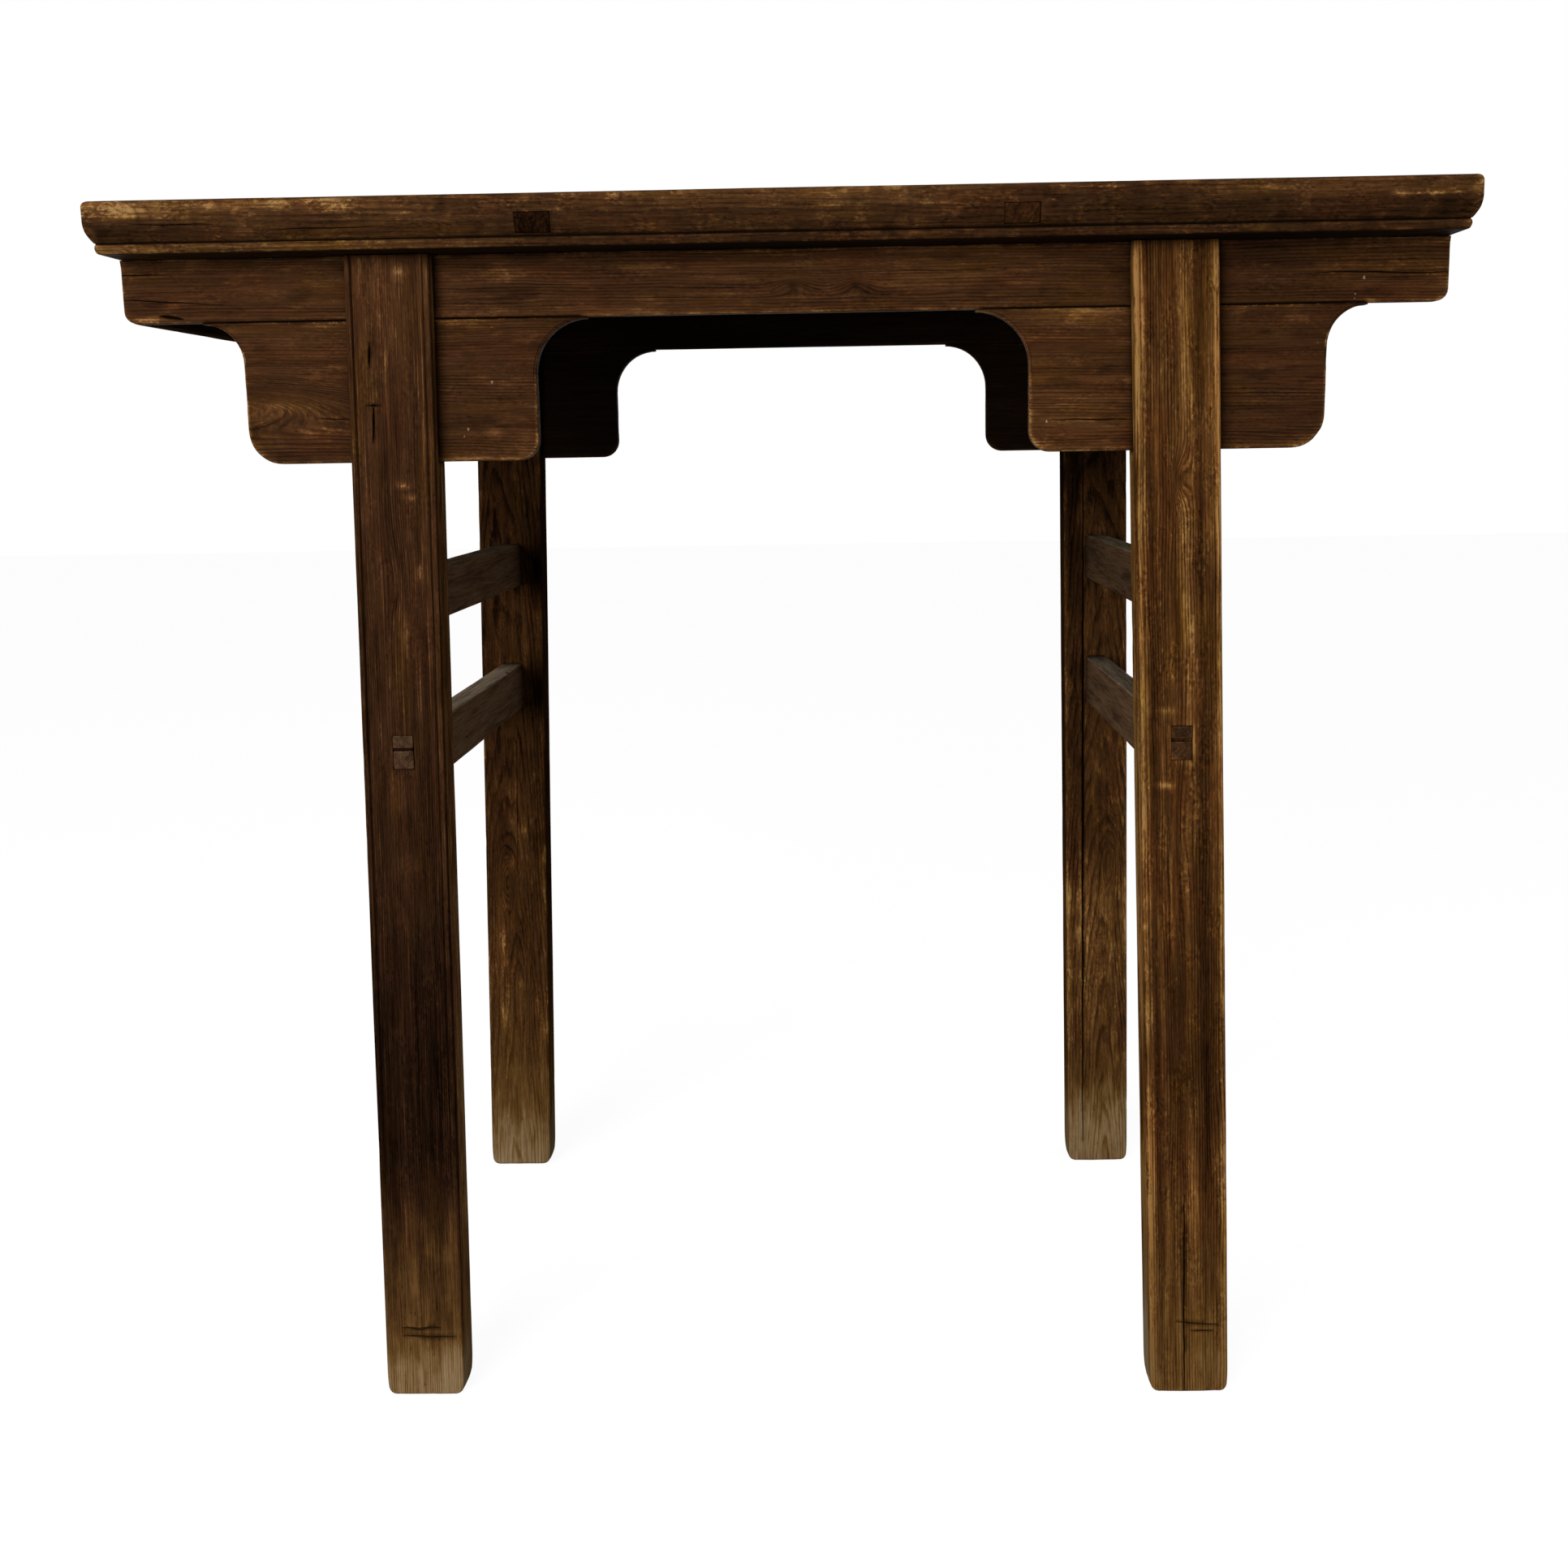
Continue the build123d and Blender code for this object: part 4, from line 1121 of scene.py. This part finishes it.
# ---------------------------------------------------------------- legs
# What singles out each leg, with heights z and places s to the right of the centre line:
# tones (z, tone); bands (s, lighter or darker), the long bands of heartwood that the photograph
# shows; bleach (z, amount), from damp floors; sides (z, how much lighter the side faces are);
# side_bleach, how much more the side faces are bleached; cracks (start, end, width, depth, seed)
# between (s, z) places, and with a sway for saw kerfs; spots (s, z, half width, half height,
# wear, darkening), the darkening being grime on most spots and painted shade on some.
leg_looks = {
    (FRONT, LEFT): dict(
        wood=brown_leg_wood, pith=(-70, 20), tilt=(0, 0), rub=0.35, crease=0.7, side_bleach=0.1,
        knots=[((600, 0, 0), 30, 6, 4)],
        tones=[(0, 0.49), (60, 0.49), (135, 0.43), (165, 0.26), (190, 0.17), (256, 0.16), (330, 0.23),
               (376, 0.33), (500, 0.39), (604, 0.41), (717, 0.45), (806, 0.55)],
        bands=[(-28.7, -0.04), (-24, -0.06), (-19, 0.0), (-5, 0.02), (6, 0.0), (15, -0.03), (18, -0.06),
               (22, 0.02), (25, 0.05), (28.7, 0.04)],
        bleach=[(0, 0.88), (25, 0.82), (36, 0.6), (48, 0.44), (80, 0.38), (110, 0.32), (140, 0.17),
                (160, 0)],
        sides=[(0, 0.5), (40, 0.42), (60, 0.38), (120, 0.38), (200, 0.68), (300, 0.57), (400, 0.41),
               (500, 0.28), (600, 0.28), (806, 0.2)],
        cracks=[((-13.3, 759), (-13.5, 742), 1.7, 4, 90), ((-11.4, 718.5), (-12.6, 692), 1.6, 4, 91),
                ((-16.6, 717.6), (-6.8, 717.0), 2.0, 2.5, 92, 0.2),
                ((-15.5, 52.6), (12.5, 53.2), 1.9, 5.0, 93, 1.2),
                ((-15.6, 46.4), (24.1, 46.0), 1.7, 5.0, 94, 1.0),
                ((-8.0, 524), (-7.4, 519), 1.2, 2.0, 95), ((3.2, 338), (2.4, 210), 0.5, 2, 96)],
        spots=[(5.7, 664, 6, 3, 0.75, 0), (12, 655, 5, 3, 0.8, 0), (9, 630, 4, 3, 0.5, 0),
               (16, 604, 2.4, 7, 0.9, 0), (8, 804, 5, 4, 0.7, 0), (17, 640, 3, 14, 0.35, 0),
               (-16, 500, 2.5, 12, 0.5, 0), (-6, 455, 5, 18, 0.4, 0), (5, 569, 3, 16, 0.35, 0),
               (-18, 150, 5, 40, 0, 0.5), (2, 400, 10, 8, 0.3, 0), (-10, 690, 6, 2, 0.5, 0),
               (14, 520, 1.2, 60, 0.5, 0), (0, 44, 16, 2.5, 0.5, 0), (-9, 50, 8, 2.6, 0, 0.4),
               (16, 47, 7, 2.2, 0, 0.35), (4, 56, 12, 1.6, 0, 0.25), (0, 488, 10, 2, 0.45, 0)]),
    (FRONT, RIGHT): dict(
        wood=leg_wood, pith=(95, 30), tilt=(0, 0), rub=0.7, crease=0.2, side_bleach=1.1,
        knots=[((661, 2, 0), 14, 5, 7), ((420, -2, 0), 60, 6, 5)],
        tones=[(0, 0.80), (60, 0.77), (100, 0.69), (140, 0.73), (190, 0.65), (256, 0.52), (376, 0.61),
               (500, 0.63), (604, 0.62), (717, 0.74), (806, 0.65)],
        bands=[(-28.7, 0.06), (-26.5, 0.2), (-23, 0.12), (-21.5, -0.2), (-18, -0.18), (-16.5, 0.02),
               (-13, 0.06), (-11, -0.08), (-6, 0.0), (-4, -0.13), (-1, -0.06), (1, 0.12), (7, 0.09),
               (10, 0.0), (12, -0.18), (16, -0.15), (18, 0.0), (21, -0.1), (23.5, 0.12), (28.7, 0.2)],
        bleach=[(0, 0.54), (30, 0.52), (60, 0.42), (100, 0.3), (140, 0.18), (200, 0.03), (230, 0)],
        sides=[(0, 0.6), (60, 0.6), (120, 0.42), (200, 0.1), (300, 0.42), (400, 0.34), (500, 0.24),
               (600, 0.12), (806, 0.16)],
        cracks=[((-2.0, 152), (-3.8, -4), 1.3, 7, 97), ((-8.5, 55.4), (22.0, 53.1), 1.3, 5.0, 98, 0.8),
                ((1.5, 48.4), (17.8, 48.2), 1.2, 5.0, 99, 0.8), ((14.2, 690), (13.6, 560), 0.4, 1.5, 100),
                ((-10, 430), (-10.6, 330), 0.4, 1.5, 101)],
        spots=[(2.2, 661, 3, 5, 0, 0.75), (-9, 502, 8, 2.4, 0.85, 0), (-13, 451, 7, 2.2, 0.9, 0),
               (-27, 352, 3, 3, 1.0, 0), (-6, 722, 6, 20, 0, 0.3), (2, 250, 7, 40, 0, 0.4),
               (-3, 310, 5, 26, 0, 0.4), (14, 190, 4, 30, 0, 0.25), (6, 560, 5, 30, 0.4, 0)]),
    # On the rear legs the tones grow darker towards the top, partly painted shade under the table; on this
    # leg the two dark spots at s 25 are painted shadows of the stretchers.
    (BACK, LEFT): dict(
        wood=rear_leg_wood, pith=(-4, 46), tilt=(0.01, -0.05), rub=0.55, crease=0.5,
        knots=[((286, -8, 34), 26, 7, 14), ((190, 4, 34), 60, 8, 6)],
        tones=[(0, 0.5), (100, 0.55), (150, 0.59), (220, 0.54), (340, 0.45), (500, 0.36), (620, 0.34),
               (680, 0.34), (806, 0.3)],
        bands=[(-28.7, -0.02), (28.7, 0.02)],
        bleach=[(0, 0.93), (25, 0.82), (42, 0.72), (60, 0.57), (80, 0.46), (110, 0.38), (150, 0.18),
                (200, 0)],
        cracks=[((3.0, 420), (1.5, 300), 0.5, 2, 103)],
        spots=[(25, 583, 7, 36, 0, 0.92), (25, 470, 7, 32, 0, 0.92), (-12, 210, 1.6, 60, 0.6, 0),
               (-14, 130, 1.8, 70, 0.6, 0), (2, 250, 7, 26, 0, 0.35), (10, 330, 2, 40, 0.5, 0),
               (-4, 360, 1.6, 30, 0.6, 0), (12, 505, 1.6, 16, 0.7, 0)]),
    # Painted shade: this leg's darker tones towards the top and its two dark spots highest up.
    (BACK, RIGHT): dict(
        wood=rear_leg_wood, pith=(6, 41), tilt=(0.004, -0.07), rub=0.6, crease=0.5,
        knots=[((300, 12, 34), 30, 8, 8)],
        tones=[(0, 0.5), (100, 0.63), (220, 0.69), (262, 0.71), (300, 0.56), (340, 0.49), (500, 0.45),
               (620, 0.34), (680, 0.17), (806, 0.22)],
        bands=[(-28.7, -0.05), (-12, -0.05), (-10, 0.05), (28.7, 0.02)],
        bleach=[(0, 0.76), (20, 0.88), (42, 0.8), (60, 0.64), (80, 0.5), (110, 0.25), (150, 0.05),
                (180, 0)],
        cracks=[((-10.7, 672), (-14.5, 20), 2.1, 8, 102)],
        spots=[(-20, 640, 9, 120, 0, 0.45), (10, 700, 22, 60, 0, 0.4), (8, 320, 9, 30, 0, 0.35),
               (-16, 200, 3, 60, 0.4, 0), (18, 150, 3, 60, 0.4, 0)]),
}


def leg_section(groove):
    """The beaded, crowned section as (s from the centre line, inset from the outer face)."""
    rim = leg_half
    crown_drop = 0.2 + 0.3 * groove
    right_bead = [
        arc((rim - 2.2, 2.2), 2.2, 0, -90, 6),
        np.array([[rim - 3.2, 0.05], [rim - 4.0, 0.1 + 0.3 * groove], [rim - 4.6, 0.15 + 1.1 * groove],
                  [rim - 5.0, 0.15 + 1.1 * groove], [rim - 5.6, 0.2 + 0.45 * groove],
                  [rim - 6.8, crown_drop]]),
    ]
    left_bead = [part[::-1] * [-1, 1] for part in right_bead[::-1]]
    crown = bow((rim - 6.8, crown_drop), (0, 0), (-rim + 6.8, crown_drop), 17)[1:-1]
    back = [arc((-rim + 2.5, leg_depth - 2.5), 2.5, 180, 90, 4),
            arc((rim - 2.5, leg_depth - 2.5), 2.5, 90, 0, 4)]
    return closed(right_bead + [crown] + left_bead + back, 2.8)


def leg_shell(leg):
    """A leg whose bead is worn away towards the foot."""
    sharp, blunt = leg_section(1.0), leg_section(0.15)
    rim = np.radians(np.linspace(0, 90, 7))
    heights = np.concatenate([foot_round * (1 - np.cos(rim)), line([foot_round], [underside], 4.0)[1:, 0],
                              [underside - 0.3]])

    def rounding(radius):
        return radius * (1 - np.sqrt(1 - (1 - np.minimum(heights / radius, 1)) ** 2))
    middle = np.array([0.0, leg_depth / 2])
    rings = []
    for z, less_x, less_y in zip(heights, rounding(foot_round), rounding(foot_edge)):
        section = blunt + (sharp - blunt) * smooth_step(z, *bead_wear)
        loop = middle + (section - middle) * [1 - less_x / leg_half, 1 - 2 * less_y / leg_depth]
        rings.append(np.column_stack([leg.x(z) + loop[:, 0], leg.face(z) - leg.end * loop[:, 1],
                                      np.full(len(loop), z)]))
    rings = np.array(rings)
    centre = np.array([leg.x(0), leg.face(0) - leg.end * leg_depth / 2, 0])
    for across, inset in itertools.product((-leg_half, leg_half), (0, leg_depth)):
        corner = leg.point(across, 0, inset)
        near = np.exp(-(np.linalg.norm(rings - corner, axis=2) / 10) ** 2)
        inward = (centre - corner) / np.linalg.norm(centre - corner)
        rings = rings + inward * (corner_wear * near)[:, :, None]
    return tube(rings)


def leg_crack(leg, start, end, width, depth, seed, kerf_sway=None):
    """A crack along the face that the camera sees, or a saw kerf across it."""
    across, sway = ((1, 0, 0), (0.5, 0, 0)) if kerf_sway is None else ((0, 0, 1), (0, 0, kerf_sway))
    path = wandering(leg.point(*start, leg.seen), leg.point(*end, leg.seen), step=4.0, sway=sway,
                     seed=seed)
    path[:, 1] = leg.face(path[:, 2]) - leg.end * leg.seen
    return crack(path, across, (0, 1, 0), width, depth)


def lower_tenon(leg, left=0.0, right=0.0, down=0.0, up=0.0):
    """Corners of the lower stretcher's through tenon where it crosses a leg, grown on its sides."""
    high = span("stretcher_lower_" + SIDES[leg.side])[1]
    top = high[2] - tenon_drop
    bottom = top - lower_tenon_height
    x = leg.x((top + bottom) / 2)
    near, far = sorted((leg.face(bottom) + leg.end * 12, leg.face(bottom) - leg.end * (leg_depth + 12)))
    return ((x - lower_tenon_half - left, near, bottom - down),
            (x + lower_tenon_half + right, far, top + up))


def make_leg(leg, seed):
    look = leg_looks[leg.end, leg.side]
    name = corner_name(leg.end, leg.side)
    front = leg.end == FRONT
    beyond = leg_width + cutter_reach
    slot = block((leg.top_x - beyond, leg.end * (apron_face + slot_gap), spandrel_bottom - slot_gap),
                 (leg.top_x + beyond, leg.end * (apron_inner - slot_gap), underside + cutter_reach))
    ragged = {LEFT: (0.3, 0.7, 0.3, 0.3), RIGHT: (0.4, 0.3, 0.3, 0.8)}[leg.side]
    cuts = [slot, block(*lower_tenon(leg, *ragged))] + [leg_crack(leg, *each) for each in look["cracks"]]
    wood = make_piece("leg_post_" + name, leg_shell(leg), Z_AXIS, seed=110 + seed, cuts=cuts)

    def side_face(p):
        return smooth_step(leg.local(p)[:, 2], 2, 7)

    def tone(p):
        sway = 1.3 * noise(p, (400, 400, 150), 401) + 0.5 * noise(p, (400, 400, 24), 402)
        across = at(leg.local(p)[:, 1] + sway, look["bands"])
        sides = at(p[:, 2], look.get("sides", [(0, 0)])) * side_face(p)
        return at(p[:, 2], look["tones"]) + across + sides

    def bleach(p):
        ragged_z = p[:, 2] + 9 * noise(p, (14, 14, 60), 411) + 5 * noise(p, (5, 5, 26), 412)
        return (1 + look.get("side_bleach", 0) * side_face(p)) * at(ragged_z, look["bleach"])

    def cut_grime(p):
        low, high = np.array(lower_tenon(leg, 3, 3, 3, 3))
        near_tenon = np.all((p > low)[:, [0, 2]] & (p < high)[:, [0, 2]], axis=1)
        return np.where(near_tenon & front, 0.25, 0.95)

    # Painted shadow just below the top, and painted shade on the back part of the front legs' sides and on
    # their back faces.
    def grime_and_shade(p):
        top = 0.8 * fading(underside - p[:, 2], 2.5)
        return np.maximum(top, 0.08 * smooth_step(leg.local(p)[:, 2], 12, 30) * front)
    spots = [(leg.point(s, z, leg.seen), (wide, 5, tall), wear, dirt_and_shade)
             for s, z, wide, tall, wear, dirt_and_shade in look["spots"]]
    dress(wood, "leg_" + name, look["wood"], leg.local, look["pith"], seed, tone, tilt=look["tilt"],
          knots=look["knots"], dirt_and_shade=grime_and_shade, bleach=bleach,
          rub=lambda p: look["rub"] * smooth_step(underside - p[:, 2], 1, 12),
          crease=look["crease"], cut_grime=cut_grime, spots=spots)


# ---------------------------------------------------------------- stretchers and wedges
# Tone, dust on the sides and dust on the top of each stretcher.
stretcher_looks = {("upper", LEFT): (0.46, 0.8, 0.28), ("lower", LEFT): (0.52, 1.0, 1.0),
                   ("upper", RIGHT): (0.34, 0.55, 0.5), ("lower", RIGHT): (0.38, 0.85, 0.5)}
tenon_looks = {LEFT: (0.27, 0.3), RIGHT: (0.375, 0.11)}  # tone and dust of the through tenons


def split_tenon(leg, face):
    """The two halves of a lower stretcher's tenon, above and below the wedge."""
    near, far = lower_tenon(leg)
    slit = far[2] - wedge_drop
    halves = ((near[2], slit - wedge_half_height), (slit + wedge_half_height, far[2]))
    outer, inner = face - leg.end * 0.5, face - leg.end * (leg_depth + 3)
    return [tenon_shell((near[0], outer, bottom), (far[0], inner, top), radius=0.7)
            for bottom, top in halves]


def make_stretcher(level, side, seed):
    name = f"{level}_{SIDES[side]}"
    low, high = span("stretcher_" + name)
    middle = (low[2] + high[2]) / 2
    pair = [legs[end, side] for end in ENDS]
    x = pair[0].x(middle)
    start, stop = (leg.point(0, middle, leg_depth - 0.4)[:2] for leg in pair)
    cuts, tenons = [], []
    if (level, side) == ("lower", LEFT):
        nicks = [([(x + 9.9, y, low[2] + 13) for y in (-67, -63, -59)], (0, 0, 1), (-1, 0, 0)),
                 ([(x + 5, y, high[2]) for y in (128, 132, 136)], (1, 0, 0), (0, 0, -1))]
        cuts = [crack(*nick, width=5, depth=5) for nick in nicks]
    if level == "lower":
        tenons = [half for leg in pair for half in split_tenon(leg, leg.face(middle))]
    section = rounded_rectangle((-stretcher_half, low[2]), (stretcher_half, high[2]),
                                radius=1.8, step=2.4, count=4)
    shell = bar(start, stop, section, step=4.0, end_round=0.3)
    wood = make_piece("stretcher_bar_" + name, shell, Y_AXIS, seed=140 + seed, amount=1.2, cuts=cuts,
                      extras=tenons)
    shoulder = abs(start[1])
    tone, side_dust, top_dust = stretcher_looks[level, side]
    tenon_tone, tenon_dust = tenon_looks[side]

    def between(p):
        return np.abs(p[:, 1]) < shoulder + 1

    def dusted(p):
        share = smooth_step(p[:, 2], high[2] - 1.6, high[2] - 0.4)
        return np.where(between(p), side_dust + (top_dust - side_dust) * share, tenon_dust)

    # Darker towards the legs: a dark joint at the front end, and painted shade reaching further from the
    # rear end.
    def grime_and_shade(p):
        return 0.84 * fading(shoulder - np.abs(p[:, 1]), np.where(p[:, 1] > 0, 26, 5)) * between(p)
    dress(wood, "stretcher_" + name, dusty_wood, along_y((x, 0, middle)), pith=(34, -22),
          seed=seed, tone=lambda p: np.where(between(p), tone, tenon_tone), dirt_and_shade=grime_and_shade, bleach=dusted,
          rub=0.5)


def make_wedges():
    half = wedge_half_height - 0.15
    wedges = []
    for leg in legs.values():
        near, far = lower_tenon(leg)
        slit = far[2] - wedge_drop
        face = leg.face(slit)
        wedges.append(tenon_shell((near[0] + 0.4, face - leg.end * 0.6, slit - half),
                                  (far[0] - 0.4, face - leg.end * 22, slit + half), radius=0.3))
    dress(make_object("wedges", *wedges), "tenon_wedges", hidden_wood, along_y((0, 0, 480)),
          pith=(20, -30), seed=50, tone=0.25, rub=0.2)


# ---------------------------------------------------------------- small drips
# Small pale drips on the front boards: (x, z, radius).
drips = [
    (-196.9, 731.8, 1.1), (-214.5, 700.7, 0.9), (-217.5, 696.0, 0.6), (178.8, 699.7, 1.0),
    (388.6, 790.0, 1.3), (383.1, 779.6, 0.8), (382.7, 776.8, 0.7),
]
# The outline of a drip from its crown to its back, inside the wood: (share of the radius, lift).
drip_profile = [(0.2, 0.35), (0.6, 0.28), (1.0, 0.0), (0.95, -0.6), (0.3, -0.7)]


def make_drips():
    angle = np.linspace(0, 2 * math.pi, 9)[:-1]
    shells = []
    for number, (x, z, radius) in enumerate(drips):
        wobble = 1 + 0.3 * np.sin(3 * angle + number)
        shells.append(skin([
            np.column_stack([x + radius * share * wobble * np.cos(angle),
                             np.full(8, -apron_face + 0.45 - lift),
                             z + radius * share * wobble * 1.3 * np.sin(angle)])
            for share, lift in drip_profile]))
    drops = make_object("pale_drips", *shells)
    drops.data.materials.append(lime_drip())
    drops.data.shade_smooth()
    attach(drops, "root")


for each_end in ENDS:
    make_long_rail(each_end)
for each_side in SIDES:
    make_short_rail(each_side)
make_panel()
for each_side in SIDES:
    make_brace(each_side)
for each_end in ENDS:
    make_apron(each_end)
make_end_board()
for number, (each_end, each_side) in enumerate(legs, 23):
    make_spandrel(each_end, each_side, number)
for number, each_leg in enumerate(legs.values(), 31):
    make_leg(each_leg, number)
for number, (each_side, each_level) in enumerate(itertools.product(SIDES, ("upper", "lower")), 41):
    make_stretcher(each_level, each_side, number)
make_wedges()
make_drips()


# ---------------------------------------------------------------- floor, light and camera
def white_rays(g):
    """1 for the camera, glossy and transmission rays, which see the floor and the world as white."""
    rays = g.add("ShaderNodeLightPath").outputs
    mirrored = g.math("MAXIMUM", rays["Is Glossy Ray"], rays["Is Transmission Ray"])
    return g.math("MAXIMUM", rays["Is Camera Ray"], mirrored)


def make_floor():
    """A pale floor that keeps the table's shadow and throws little light back up."""
    g = Nodes(bpy.data.materials.new("floor"))
    lit = g.add("ShaderNodeBsdfDiffuse", {"Color": grey(0.9)}).outputs[0]
    glow = g.add("ShaderNodeEmission", {"Color": grey(1.0), "Strength": 1.3}).outputs[0]
    seen = g.add("ShaderNodeMixShader", {0: 0.3, 1: glow, 2: lit}).outputs[0]
    dull = g.add("ShaderNodeBsdfDiffuse", {"Color": grey(0.1)}).outputs[0]
    surface = g.add("ShaderNodeMixShader", {0: white_rays(g), 1: dull, 2: seen}).outputs[0]
    clear = g.add("ShaderNodeBsdfTransparent").outputs[0]
    below = g.add("ShaderNodeNewGeometry").outputs["Backfacing"]
    both = g.add("ShaderNodeMixShader", {0: below, 1: surface, 2: clear}).outputs[0]
    g.add("ShaderNodeOutputMaterial", {0: both})
    reach, level = 12.0, -0.0004
    corners = [(-reach, -reach), (reach, -reach), (reach, reach), (-reach, reach)]
    mesh = bpy.data.meshes.new("floor")
    mesh.from_pydata([(x, y, level) for x, y in corners], [], [(0, 1, 2, 3)])
    floor = bpy.data.objects.new("floor", mesh)
    bpy.context.scene.collection.objects.link(floor)
    mesh.materials.append(g.owner)


def make_world(ambient):
    """A white backdrop to the eye and in reflections, and a dim light on the table."""
    g = Nodes(bpy.data.worlds.new("studio"))
    plugs = {"Value": white_rays(g), "To Min": ambient, "To Max": 1.0}
    strength = g.add("ShaderNodeMapRange", plugs).outputs[0]
    sky = g.add("ShaderNodeBackground", {"Color": grey(1.0), "Strength": strength}).outputs[0]
    g.add("ShaderNodeOutputWorld", {0: sky})
    bpy.context.scene.world = g.owner


def make_lamp(name, place, aim, width, watts):
    light = bpy.data.lights.new(name, "AREA")
    light.size = width
    light.energy = watts
    lamp = bpy.data.objects.new(name, light)
    lamp.location = place
    lamp.rotation_euler = (Vector(aim) - Vector(place)).to_track_quat("-Z", "Y").to_euler()
    bpy.context.scene.collection.objects.link(lamp)


def make_camera():
    """The photograph's viewpoint, fitted to the table's corners for the height and depth assumed."""
    place = Vector((0.0503, -1.4849, 0.6839))
    yaw, pitch, roll = -0.02494, -0.1808, -0.01628
    image_width, sensor = 1932.0, 36.0
    focal_pixels, axis_pixel = 2259.43, 1005.61
    ahead = Vector((math.sin(yaw) * math.cos(pitch), math.cos(yaw) * math.cos(pitch), math.sin(pitch)))
    level = Vector((math.cos(yaw), -math.sin(yaw), 0.0))
    upright = level.cross(ahead)
    right = math.cos(roll) * level + math.sin(roll) * upright
    up = -math.sin(roll) * level + math.cos(roll) * upright
    data = bpy.data.cameras.new("camera")
    data.sensor_width = sensor
    data.lens = focal_pixels * sensor / image_width
    data.shift_x = (image_width / 2 - axis_pixel) / image_width
    camera = bpy.data.objects.new("camera", data)
    camera.matrix_world = Matrix.Translation(place) @ Matrix((right, up, -ahead)).transposed().to_4x4()
    bpy.context.scene.collection.objects.link(camera)
    bpy.context.scene.camera = camera


make_floor()
make_world(ambient=0.24)
make_lamp("key", place=(-1.3, -3.0, 1.1), aim=(0, 0, 0.5), width=1.9, watts=82)
make_lamp("fill", place=(2.6, -2.2, 1.2), aim=(0, 0, 0.45), width=1.8, watts=14)
make_camera()
bpy.context.scene.view_settings.view_transform = "Standard"
